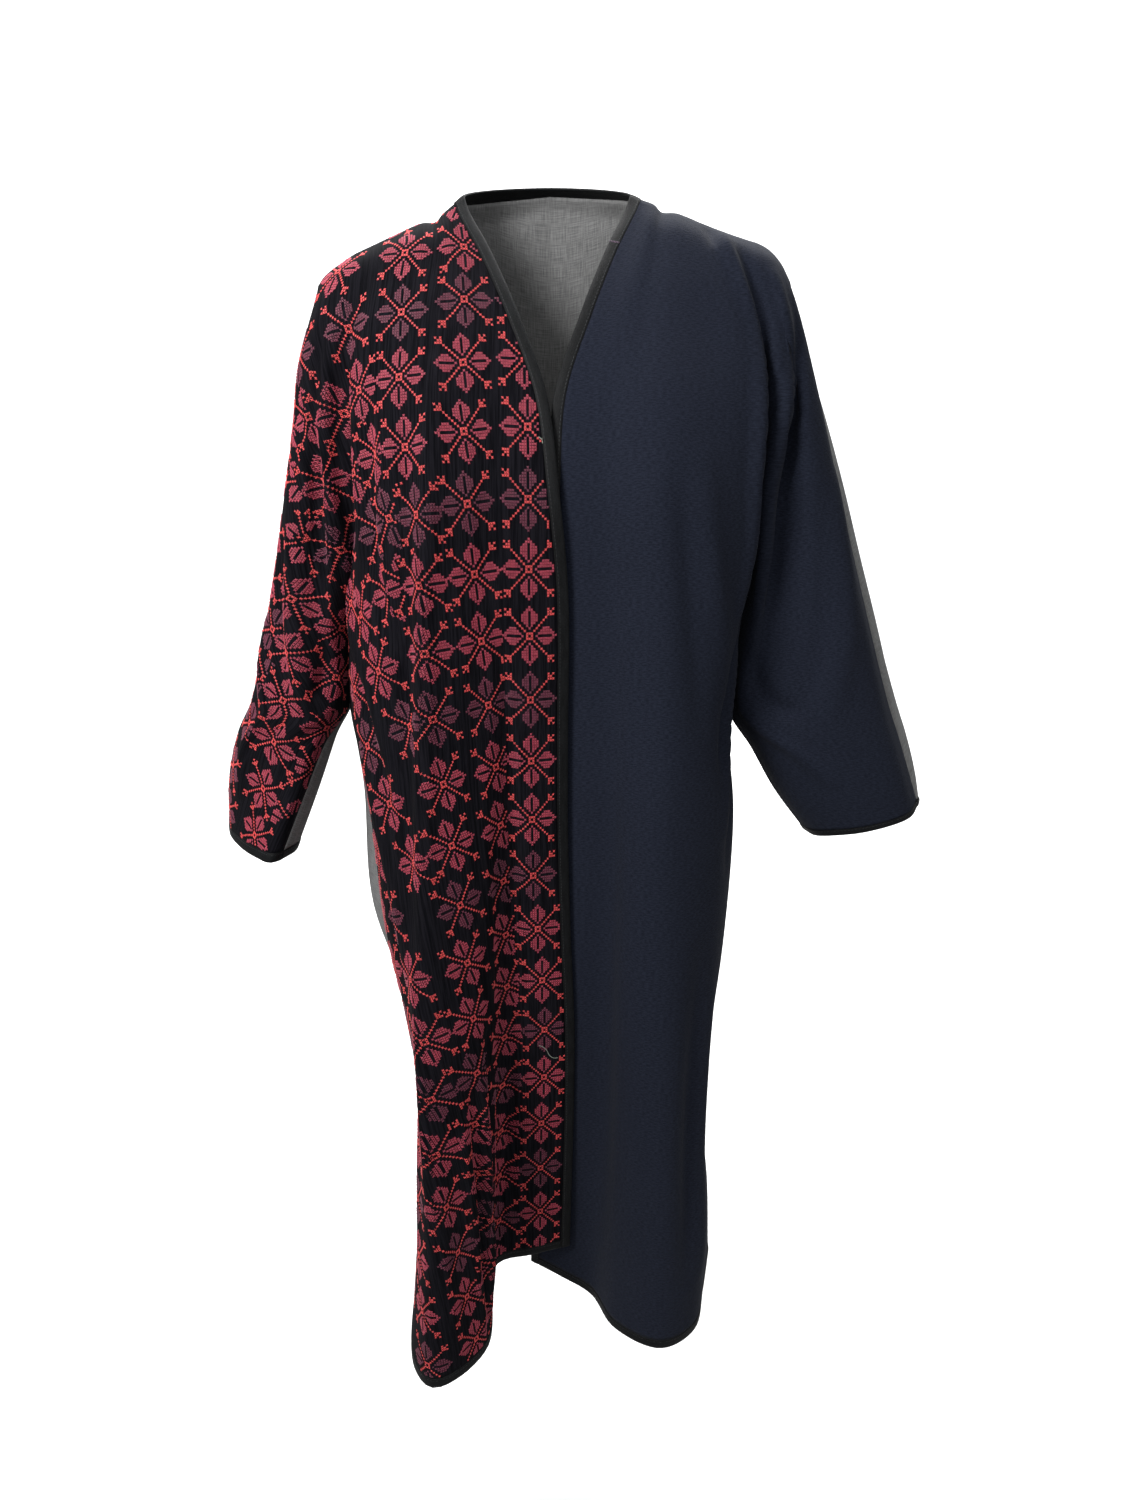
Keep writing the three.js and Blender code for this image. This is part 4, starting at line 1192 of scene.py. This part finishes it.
# %% The back
back_bm = new_cloth_bmesh()
for side in (-1, 1):
    lay_patches(back_bm, BACKS[side], FLAT_BACKS[side], EDGES["back"])
sew_up(back_bm, False, BACK_CREASES)
finish_cloth(back_bm, "back_cloth", ["back"], GREY_LINEN)

# %% [markdown]
# ## The binding
# A strip of cloth cut on the bias is folded round every raw edge and stitched down. It is thicker
# than the cloth it holds and its edges are round, so each strip gets a thicker wall and a bevel.
# One strip goes up the right front, round the back of the neck and ends at the left shoulder.

# %% Shapes of the strips
BINDING = 2.4 * MM
STRIP_COLUMNS = 4
HEM_STRIP = np.linspace(HEM_ROW, HEM_ROW - BINDING_WIDTH / HEM_SPACE, STRIP_COLUMNS + 1)
CUFF_STRIP = np.linspace(CUFF_ROW, CUFF_ROW - CUFF_BINDING_WIDTH / CUFF_SPACE, STRIP_COLUMNS + 1)
# grid: rows along the strip, columns from its edge inwards. out: which side of it is the outside.
Strip = namedtuple("Strip", "grid out")


def lengthways(grid):
    return np.swapaxes(grid, 0, 1)


def edge_strips(half):
    """Upper and lower part of the strip on a front's edge."""
    body, _ = front_sections(half)
    rows = [UPPER_ROWS, row_places(UNDERARM_ROW, LOWER_STEPS)]
    lines = [between(spline(body, places), STRIP_COLUMNS, 0, BINDING_WIDTH * MM) for places in rows]
    return [Strip(line, -half.side) for line in lines]


def neck_strip(half, shoulder_end):
    """From the middle of the neck to the shoulder, where it meets the front's strip."""
    grid = np.stack([neckline(half, out) for out in np.linspace(0, BINDING_WIDTH, STRIP_COLUMNS + 1)])
    return Strip(lengthways(pull(grid, shoulder_end)), -half.side)


def hem_strips(half):
    front = between(spline(front_sections(half)[0], HEM_STRIP), BODY_COLUMNS, BINDING_WIDTH * MM)
    back = pull(back_body(back_body_sections(half), HEM_STRIP), front[:, -1])
    return [Strip(lengthways(front), -half.side), Strip(lengthways(back), half.side)]


def cuff_strips(half):
    front = between(spline(front_sections(half)[1], CUFF_STRIP), SLEEVE_COLUMNS)
    back = between(spline(back_sleeve_sections(half), CUFF_STRIP), SLEEVE_COLUMNS)
    back = pull(pull(back, front[:, 0], True), front[:, -1])
    return [Strip(lengthways(front), -half.side), Strip(lengthways(back), half.side)]


EDGE_STRIPS = {half.side: edge_strips(half) for half in (RIGHT, LEFT)}
HEM_STRIPS = {half.side: hem_strips(half) for half in (RIGHT, LEFT)}
NECK_STRIPS = [neck_strip(half, EDGE_STRIPS[half.side][0].grid[0]) for half in (RIGHT, LEFT)]
BINDINGS = {
    "binding_right": EDGE_STRIPS[-1] + NECK_STRIPS,
    "binding_left": EDGE_STRIPS[1],
    "hem_binding_right": HEM_STRIPS[-1][:1],
    "hem_binding_left": HEM_STRIPS[1][:1],
    "hem_binding_back": [HEM_STRIPS[-1][1], HEM_STRIPS[1][1]],
    "cuff_binding_right": cuff_strips(RIGHT),
    "cuff_binding_left": cuff_strips(LEFT),
}
print({name: len(strips) for name, strips in BINDINGS.items()})

# %% Lay the strips
CROWN = 0.5 * MM  # how far the middle of a strip stands out
ROUNDING = 0.8 * MM
ROUND_FROM = math.radians(50)  # edges sharper than this are rounded
BINDING_CLOTH = cloth_material(
    "black_bias_binding", (0.0016, 0.0018, 0.0020), (0.0070, 0.0075, 0.0082), 0.55,
    [(1100, 1100, 2.5, 0.6), (300, 60, 2.0, 0.4)], 0.35, gloss=0.12,
)


def strip_normals(strip):
    across_way, along_way = np.gradient(strip.grid, axis=1), np.gradient(strip.grid, axis=0)
    normals = np.cross(across_way, along_way) * strip.out
    return normals / np.maximum(np.linalg.norm(normals, axis=2, keepdims=True), 1e-12)


def lay_binding(name, strips):
    """A strip as a thick shell with a soft crown and round edges."""
    bm = new_cloth_bmesh()
    length = 0
    for strip in strips:
        rise = CROWN * np.sin(np.linspace(0, np.pi, STRIP_COLUMNS + 1))[None, :, None]
        flat = np.stack([run(strip.grid, 1), length + run(strip.grid, 0)], 2)
        crowned = strip.grid + strip_normals(strip) * rise
        middle = np.abs(strip.grid[..., 0]) < 1e-7  # two strips meet there, so it stays in the middle
        crowned[..., 0][middle] = 0
        lay_patch(bm, crowned, flat, "upper")
        length = flat[-1, :, 1].max()
    sew_up(bm, True, [])
    piece = finish_cloth(bm, f"{name}_cloth", [name], BINDING_CLOTH, BINDING)
    rounding = piece.modifiers.new("round_edges", "BEVEL")
    rounding.width = ROUNDING
    rounding.segments = 2
    rounding.limit_method = "ANGLE"
    rounding.angle_limit = ROUND_FROM


for name, strips in BINDINGS.items():
    lay_binding(name, strips)

# %% [markdown]
# ## The cross-stitch, charted like a maker's pattern
# Cross-stitch is drawn on squared paper: one X for one stitch. The flower has four leaves on its
# axes, four dotted stems on its diagonals, a bud at the end of each stem, and a ring of eight
# stitches in the middle. Only one leaf and one bud are charted. The rest are turned and mirrored.

# %% The chart
STITCH_ACROSS = 2.08  # millimetres
STITCH_DOWN = 2.36
FLOWER_ACROSS = 27  # stitches in one repeat
FLOWER_DOWN = 25
LEAF = [  # its tip points up, 11 stitches from the middle
    "...X...",
    "..XXX..",
    ".XX.XX.",
    "XXX.XXX",
    "XXX.XXX",
    "XXX.XXX",
    ".XX.XX.",
    "..X.X..",
    "...X...",
]
LEAF_TIP = 11
BUD = [  # up and to the right of the middle, with its lower left corner at (8, 8)
    "X.X",
    "XX.",
    "XXX",
]
BUD_START = 8
STEM = range(2, BUD_START)


def charted(rows, left, top):
    return [(left + c, top - r) for r, row in enumerate(rows) for c, mark in enumerate(row) if mark == "X"]


up_leaf = charted(LEAF, -(len(LEAF[0]) // 2), LEAF_TIP)
leaves = [turned for x, y in up_leaf for turned in ((x, y), (y, -x), (-x, -y), (-y, x))]
branch = charted(BUD, BUD_START, BUD_START + len(BUD) - 1) + [(k, k) for k in STEM]
ring = [(x, y) for x in (-1, 0, 1) for y in (-1, 0, 1) if (x, y) != (0, 0)]
branches = ring + [(sx * x, sy * y) for x, y in branch for sx in (-1, 1) for sy in (-1, 1)]
LEAF_CELLS = np.array(leaves, float)
BRANCH_CELLS = np.array(branches, float)
print(f"a flower has {len(LEAF_CELLS)} leaf stitches and {len(BRANCH_CELLS)} branch stitches")

# %% [markdown]
# ## Where the flowers lie
# The pattern was stitched on flat cloth in straight rows. A worn front turns with the arm, so its
# rows droop more and more towards the sleeve, and the sleeve's own rows hang steeply. Each row of
# this table is one line of flowers down the cloth, one repeat apart. turn is how far the flowers
# lean, in degrees, at the line's start and end. In every third row the leaves are plum.

# %% Lines of flowers
Line = namedtuple("Line", "on plum start_turn end_turn points")  # plum: the first such flower
NO_PLUM, ALL_PLUM = "none", "all"
FLOWER_LINES = [
    Line("body", 0, 0, 0, [(21, 117), (20, 176), (17, 235), (17, 640), (9, 760), (6, 850), (12, 960),
                           (14, 1130)]),
    Line("body", 2, 0, 9, [(76, 3), (75, 62), (72, 200), (69, 298), (61, 400), (55, 476)]),
    Line("body", 2, 12, 20, [(50, 534), (46, 610), (44, 720), (44, 790)]),
    Line("body", 1, 17, 0, [(48, 829), (52, 894), (57, 980), (61, 1130)]),
    Line("body", 2, 4, 12, [(134, 13), (132, 72), (128, 150), (125, 240), (112, 308), (109, 420),
                            (106, 500)]),
    Line("body", 2, 15, 20, [(102, 544), (99, 640), (101, 724), (104, 790)]),
    Line("body", 0, 20, 4, [(109, 839), (119, 905), (120, 1000), (117, 1180)]),
    Line("body", 2, 15, 22, [(212, 20), (198, 77), (184, 137), (170, 195), (156, 255), (140, 312),
                             (127, 371)]),
    Line("body", 2, 22, 27, [(206, 205), (186, 262), (161, 315), (146, 372)]),
    Line("body", 1, 18, 27, [(252, 88), (246, 146), (245, 205), (247, 264), (243, 324), (216, 392)]),
    Line("body", 2, 28, 26, [(190, 390), (161, 448), (133, 499)]),
    Line("body", 1, 28, 26, [(226, 466), (198, 520), (170, 572), (142, 622)]),
    Line("body", 1, 27, 6, [(216, 631), (188, 683), (160, 735), (154, 795), (160, 854), (169, 917),
                            (170, 975), (166, 1035), (164, 1096), (160, 1170)]),
    Line("body", 2, 24, 5, [(244, 690), (222, 745), (212, 800), (214, 870), (222, 960), (220, 1190)]),
    # the hidden side, between the big fold and the seam
    Line("body", 0, 24, 5, [(250, 572), (270, 630), (284, 688), (281, 745), (272, 803), (273, 870),
                            (279, 960), (278, 1140)]),
    Line("body", 2, 14, 5, [(322, 775), (331, 835), (331, 900), (336, 960), (336, 1140)]),
    Line("body", 1, 8, 5, [(386, 960), (392, 1040), (394, 1140)]),
    Line("sleeve", NO_PLUM, 45, 60, [(318, 190), (326, 243), (338, 296), (354, 345)]),
    Line("sleeve", NO_PLUM, 60, 66, [(388, 368), (410, 412), (424, 458)]),
    Line("sleeve", NO_PLUM, 48, 68, [(278, 205), (271, 262), (282, 320), (303, 368), (325, 416), (357, 463),
                              (341, 526), (335, 574), (322, 626)]),
    Line("sleeve", NO_PLUM, 74, 72, [(262, 401), (292, 447), (301, 501), (280, 556), (280, 612)]),
    Line("sleeve", ALL_PLUM, 62, 68, [(345, 395), (372, 440), (396, 490), (400, 545), (396, 600)]),
]


def flower_places(line):
    """Flat places one repeat apart along a line, each with its turn."""
    points = np.array(line.points, float)
    length = run(points, 0)
    repeat = FLOWER_ACROSS * STITCH_ACROSS if line.on == "sleeve" else FLOWER_DOWN * STITCH_DOWN
    at = np.arange(0, length[-1] + repeat / 4, repeat)
    turns = np.interp(at, [0, length[-1]], [line.start_turn, line.end_turn])
    return follow(length, points, at), np.radians(turns)


def leaf_color(line, number):
    """Every third flower of a line has plum leaves, unless the line says none or all."""
    return "plum" if line.plum == ALL_PLUM or number % 3 == line.plum else "crimson"


print(sum(len(flower_places(line)[0]) for line in FLOWER_LINES), "flowers in", len(FLOWER_LINES), "lines")

# %% [markdown]
# ## Laying each stitch on the worn cloth
# A stitch is placed on the flat cloth first. A search tree finds the small triangle of cloth that
# lies there, and the same shares of that triangle's corners give the place on the worn robe. The
# threads are real little ridges, two to a stitch, so they catch the light as floss does. NumPy
# works out all of them at once, because there are more than 40,000.

# %% From flat places to the worn cloth
BESIDE = 0.05  # millimetres: a flat point that is further than this from the cloth isn't on it


def on_cloth(surface, flat):
    """Which triangle each flat point lies in, its shares of the corners, and if it's inside."""
    hits = [surface.tree.find_nearest((a, b, 0)) for a, b in flat]
    found = np.array([hit[2] for hit in hits])
    inside = np.array([hit[3] for hit in hits]) < BESIDE
    corners = surface.flats[surface.triangles[found]]
    u, v = corners[:, 1] - corners[:, 0], corners[:, 2] - corners[:, 0]
    w = np.array([hit[0][:2] for hit in hits]) - corners[:, 0]
    area = u[:, 0] * v[:, 1] - u[:, 1] * v[:, 0]
    area = np.where(np.abs(area) < 1e-6, 1e-6, area)
    second = (w[:, 0] * v[:, 1] - w[:, 1] * v[:, 0]) / area
    third = (u[:, 0] * w[:, 1] - u[:, 1] * w[:, 0]) / area
    return found, np.stack([1 - second - third, second, third], 1), inside


def blend_corners(values, surface, found, shares):
    return (values[surface.triangles[found]] * shares[:, :, None]).sum(1)


middle = on_cloth(SURFACES["body"], [(100, 600)])[:2]
worn = blend_corners(SURFACES["body"].places, SURFACES["body"], *middle)[0]
print("100 mm across and 600 mm down the flat front is worn at", worn.round(3))

# %% How a flower lies on the cloth
FRAME_REACH = 12  # millimetres round a flower's middle that settle which way it lies


def flower_frame(surface, place, turn):
    """Turns stitches (right, up) into flat millimetres, undoing the stretch of the flat map."""
    around = [(a, b) for a in (-FRAME_REACH, 0, FRAME_REACH) for b in (-FRAME_REACH, 0, FRAME_REACH)]
    found, shares, _ = on_cloth(surface, place + np.array(around))
    corners = surface.triangles[found]
    worn, flat = surface.places[corners], surface.flats[corners]
    worn_sides = np.stack([worn[:, 1] - worn[:, 0], worn[:, 2] - worn[:, 0]], 2) / MM
    flat_sides = np.stack([flat[:, 1] - flat[:, 0], flat[:, 2] - flat[:, 0]], 2)
    stretch = (worn_sides @ np.linalg.inv(flat_sides)).mean(0)
    normal = blend_corners(surface.normals, surface, found, shares).mean(0)
    normal /= np.linalg.norm(normal)
    below = np.array([0, 0, -1.0])
    below -= normal * (below @ normal)
    below /= np.linalg.norm(below)
    outwards = np.cross(normal, below)
    outwards *= np.sign(outwards @ stretch[:, 0])
    along_row = math.cos(turn) * outwards + math.sin(turn) * below
    down_column = math.cos(turn) * below - math.sin(turn) * outwards
    to_tangent = np.stack([outwards, below]) @ stretch
    steps = np.stack([along_row * STITCH_ACROSS, -down_column * STITCH_DOWN], 1)
    return np.linalg.inv(to_tangent) @ (np.stack([outwards, below]) @ steps)


print("a stitch there, in flat millimetres:", flower_frame(SURFACES["body"], (100, 600), 0).round(2).tolist())

# %% Plan every stitch
STITCH_REACH = 0.39  # half a stitch is 0.5, and a little cloth shows between two
STITCH_CORNERS = STITCH_REACH * np.array([(-1, -1), (1, -1), (1, 1), (-1, 1)])
FLOWER_REACH = 11  # stitches from a flower's middle that it keeps for itself


def plan_stitches(surfaces):
    """Corners and normals of all stitches for each colour. Where two flowers meet, the first stays."""
    stitches = {"coral": [], "crimson": [], "plum": []}
    laid = []
    for line in FLOWER_LINES:
        surface = surfaces[line.on]
        places, turns = flower_places(line)
        for number, (place, turn) in enumerate(zip(places, turns)):
            to_flat = flower_frame(surface, place, turn)
            for color, cells in ((leaf_color(line, number), LEAF_CELLS), ("coral", BRANCH_CELLS)):
                middles = place + cells @ to_flat.T
                free = np.ones(len(cells), bool)
                for other_place, to_cells in laid:
                    seen = np.abs((middles - other_place) @ to_cells.T)
                    free &= (seen > FLOWER_REACH).any(1)
                cells = cells[free]
                if not len(cells):
                    continue
                corners = (cells[:, None] + STITCH_CORNERS).reshape(-1, 2)
                found, shares, inside = on_cloth(surface, place + corners @ to_flat.T)
                whole = inside.reshape(-1, 4).all(1)
                worn = blend_corners(surface.places, surface, found, shares).reshape(-1, 4, 3)
                normal = blend_corners(surface.normals, surface, found, shares).reshape(-1, 4, 3).mean(1)
                stitches[color].append((worn[whole], normal[whole]))
            laid.append((place, np.linalg.inv(to_flat)))
    return {color: [np.concatenate(part) for part in zip(*parts)] for color, parts in stitches.items()}


STITCHES = plan_stitches(SURFACES)
print("stitches:", {color: len(corners) for color, (corners, _) in STITCHES.items()})

# %% The shape of a thread
THREAD_HALF_WIDTH = 0.31 * MM
THREAD_HEIGHTS = (0.42 * MM, 0.62 * MM)  # the second thread of an X lies over the first
THREAD_END = 0.5 * MM  # how far in from its ends a thread reaches its height
THREAD_STRAY = 0.06 * MM  # no stitch is set quite true
THREAD_FACES = [(0, 3, 5, 4), (2, 1, 4, 5), (1, 0, 4), (3, 2, 5)]


def thread_points(start, end, normal, height, random):
    """The six corners of each thread: four on the cloth and two on its crown."""
    along = end - start
    along /= np.linalg.norm(along, axis=1, keepdims=True)
    side = np.cross(normal, along) * THREAD_HALF_WIDTH
    rise = normal * height * random.uniform(0.85, 1.15, (len(start), 1))
    crown = along * THREAD_END
    foot = [start - side, start + side, end + side, end - side]
    return np.stack([*foot, start + crown + rise, end - crown + rise], 1)


def ridge_piece(name, points, material):
    """One mesh of all the threads whose six corners are given."""
    points = points.reshape(-1, 3)
    starts = range(0, len(points), 6)
    faces = [[start + corner for corner in face] for start in starts for face in THREAD_FACES]
    mesh = bpy.data.meshes.new(name)
    mesh.from_pydata(points.tolist(), [], faces)
    mesh.shade_smooth()
    mesh.materials.append(material)
    piece = bpy.data.objects.new(name, mesh)
    bpy.context.scene.collection.objects.link(piece)
    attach(piece, "root")
    print(f"{name}: {len(points) // 6} threads")


def thread_piece(name, stitches, material, random):
    corners, normals = stitches
    normals = normals / np.linalg.norm(normals, axis=1, keepdims=True)
    corners = corners + normals[:, None] * (CLOTH / 2)
    corners = corners + random.normal(0, THREAD_STRAY, corners.shape)
    first = thread_points(corners[:, 0], corners[:, 2], normals, THREAD_HEIGHTS[0], random)
    second = thread_points(corners[:, 1], corners[:, 3], normals, THREAD_HEIGHTS[1], random)
    ridge_piece(name, np.concatenate([first, second]), material)


print(f"a thread is {2 * THREAD_HALF_WIDTH / MM:.2f} mm wide and {THREAD_HEIGHTS[0] / MM:.2f} mm high")

# %% Floss, and the threads of the flowers
FLOSS_DYE = {"scale": 260.0, "detail": 2.0}


def thread_material(name, color, deep):
    """Cotton thread: each length of it took the dye a little differently."""
    material, tree, shader = new_material(name)
    mixed = color_between(tree, uneven_dye(tree, **FLOSS_DYE), 0.3, deep, 0.7, color)
    tree.links.new(mixed, shader.inputs["Base Color"])
    shader.inputs["Roughness"].default_value = 0.55
    shader.inputs["Sheen Weight"].default_value = 0.15
    return material


FLOSS = {
    "coral": thread_material("coral_floss", (0.84, 0.080, 0.078), (0.60, 0.047, 0.050)),
    "crimson": thread_material("crimson_floss", (0.50, 0.052, 0.090), (0.33, 0.030, 0.060)),
    "plum": thread_material("plum_floss", (0.185, 0.024, 0.055), (0.115, 0.015, 0.036)),
}

stitch_random = np.random.default_rng(7)
for color, floss in FLOSS.items():
    thread_piece(f"thread_{color}", STITCHES[color], floss, stitch_random)

# %% [markdown]
# ## The last stitches
# A machine sews each strip of binding down near its inner side: a long stitch, a short gap, and so
# on. The strip of the left front has a small join near the neck, closed with purple thread. Two
# thread ends were never cut off. They are what tells a sewn robe from a moulded one.

# %% Machine stitches along the strips
SEAM_STITCH, SEAM_GAP = 2.6 * MM, 0.8 * MM
SEAM_HEIGHT = 0.3 * MM
SEAM_LIFT = 0.12 * MM  # the strip is crowned, so its stitches lie this much above its wall
SEAM_FROM_SIDE = 0.8 * STRIP_COLUMNS  # where the seam runs across a strip, in columns


def seam_line(strip):
    """Points and normals along the line that the machine follows."""
    column, share = divmod(SEAM_FROM_SIDE, 1)
    left, right = int(column), int(column) + 1
    grid, normals = strip.grid, strip_normals(strip)
    return mix(grid[:, left], grid[:, right], share), mix(normals[:, left], normals[:, right], share)


def seam_ends(strip):
    """The start, end and normal of each machine stitch."""
    line, normals = seam_line(strip)
    line = line + normals * (BINDING / 2 + SEAM_LIFT)
    length = run(line, 0)
    starts = np.arange(SEAM_GAP, length[-1] - SEAM_STITCH, SEAM_STITCH + SEAM_GAP)
    ends = starts + SEAM_STITCH
    return follow(length, line, starts), follow(length, line, ends), follow(length, normals, starts)


seam_random = np.random.default_rng(11)
seams = []
for strips in BINDINGS.values():
    for strip in strips:
        seams.append(thread_points(*seam_ends(strip), SEAM_HEIGHT, seam_random))
BLACK_THREAD = thread_material("black_machine_thread", (0.030, 0.032, 0.036), (0.012, 0.013, 0.015))
ridge_piece("binding_seams", np.concatenate(seams), BLACK_THREAD)

# %% The join in the strip of the left front
JOIN_DROP = 0.052  # metres below the neck, along the strip
JOIN_STITCHES = 7
JOIN_REACH = 0.9 * MM  # half the length of a stitch


def join_stitches(strip):
    """Short stitches side by side across the strip."""
    drop = run(strip.grid, 0)[:, 0]
    row = int(np.searchsorted(drop, JOIN_DROP))
    normals = strip_normals(strip)[row]
    along = strip.grid[row + 1] - strip.grid[row]
    along /= np.linalg.norm(along, axis=1, keepdims=True)
    where = np.linspace(0.3, STRIP_COLUMNS - 0.3, JOIN_STITCHES)
    columns = range(STRIP_COLUMNS + 1)
    middle, out, way = (follow(columns, values, where) for values in (strip.grid[row], normals, along))
    middle = middle + out * (BINDING / 2 + CROWN)
    return middle - way * JOIN_REACH, middle + way * JOIN_REACH, out


PURPLE_THREAD = thread_material("purple_thread", (0.110, 0.050, 0.105), (0.060, 0.028, 0.060))
join = thread_points(*join_stitches(BINDINGS["binding_left"][0]), SEAM_HEIGHT, seam_random)
ridge_piece("binding_join", join, PURPLE_THREAD)

# %% Two thread ends that were never cut off
LOOSE_ENDS = [  # each runs through points of the flat right front, (across, down) in millimetres
    [(13, 842), (9, 844), (5, 849), (2, 856), (-2, 860), (-7, 861)],
    [(8, 244), (4, 247), (1, 245), (-2, 249)],
]
LOOSE_HEIGHT = 0.4 * MM
LOOSE_LIFT, LOOSE_ARCH = 1.2 * MM, 0.6 * MM  # a loose end lies on the flowers, and lifts in its middle


def loose_end(surface, points):
    """One thread end as a chain of short ridges."""
    line = smooth_line(points, 4 * len(points))
    found, shares, _ = on_cloth(surface, line)
    normals = blend_corners(surface.normals, surface, found, shares)
    arch = np.sin(np.linspace(0, np.pi, len(line)))[:, None] * LOOSE_ARCH
    worn = blend_corners(surface.places, surface, found, shares) + normals * (CLOTH / 2 + LOOSE_LIFT + arch)
    return thread_points(worn[:-1], worn[1:], normals[:-1], LOOSE_HEIGHT, seam_random)


PALE_THREAD = thread_material("pale_thread_end", (0.30, 0.34, 0.28), (0.20, 0.23, 0.19))
ends = np.concatenate([loose_end(SURFACES["body"], points) for points in LOOSE_ENDS])
ridge_piece("loose_threads", ends, PALE_THREAD)
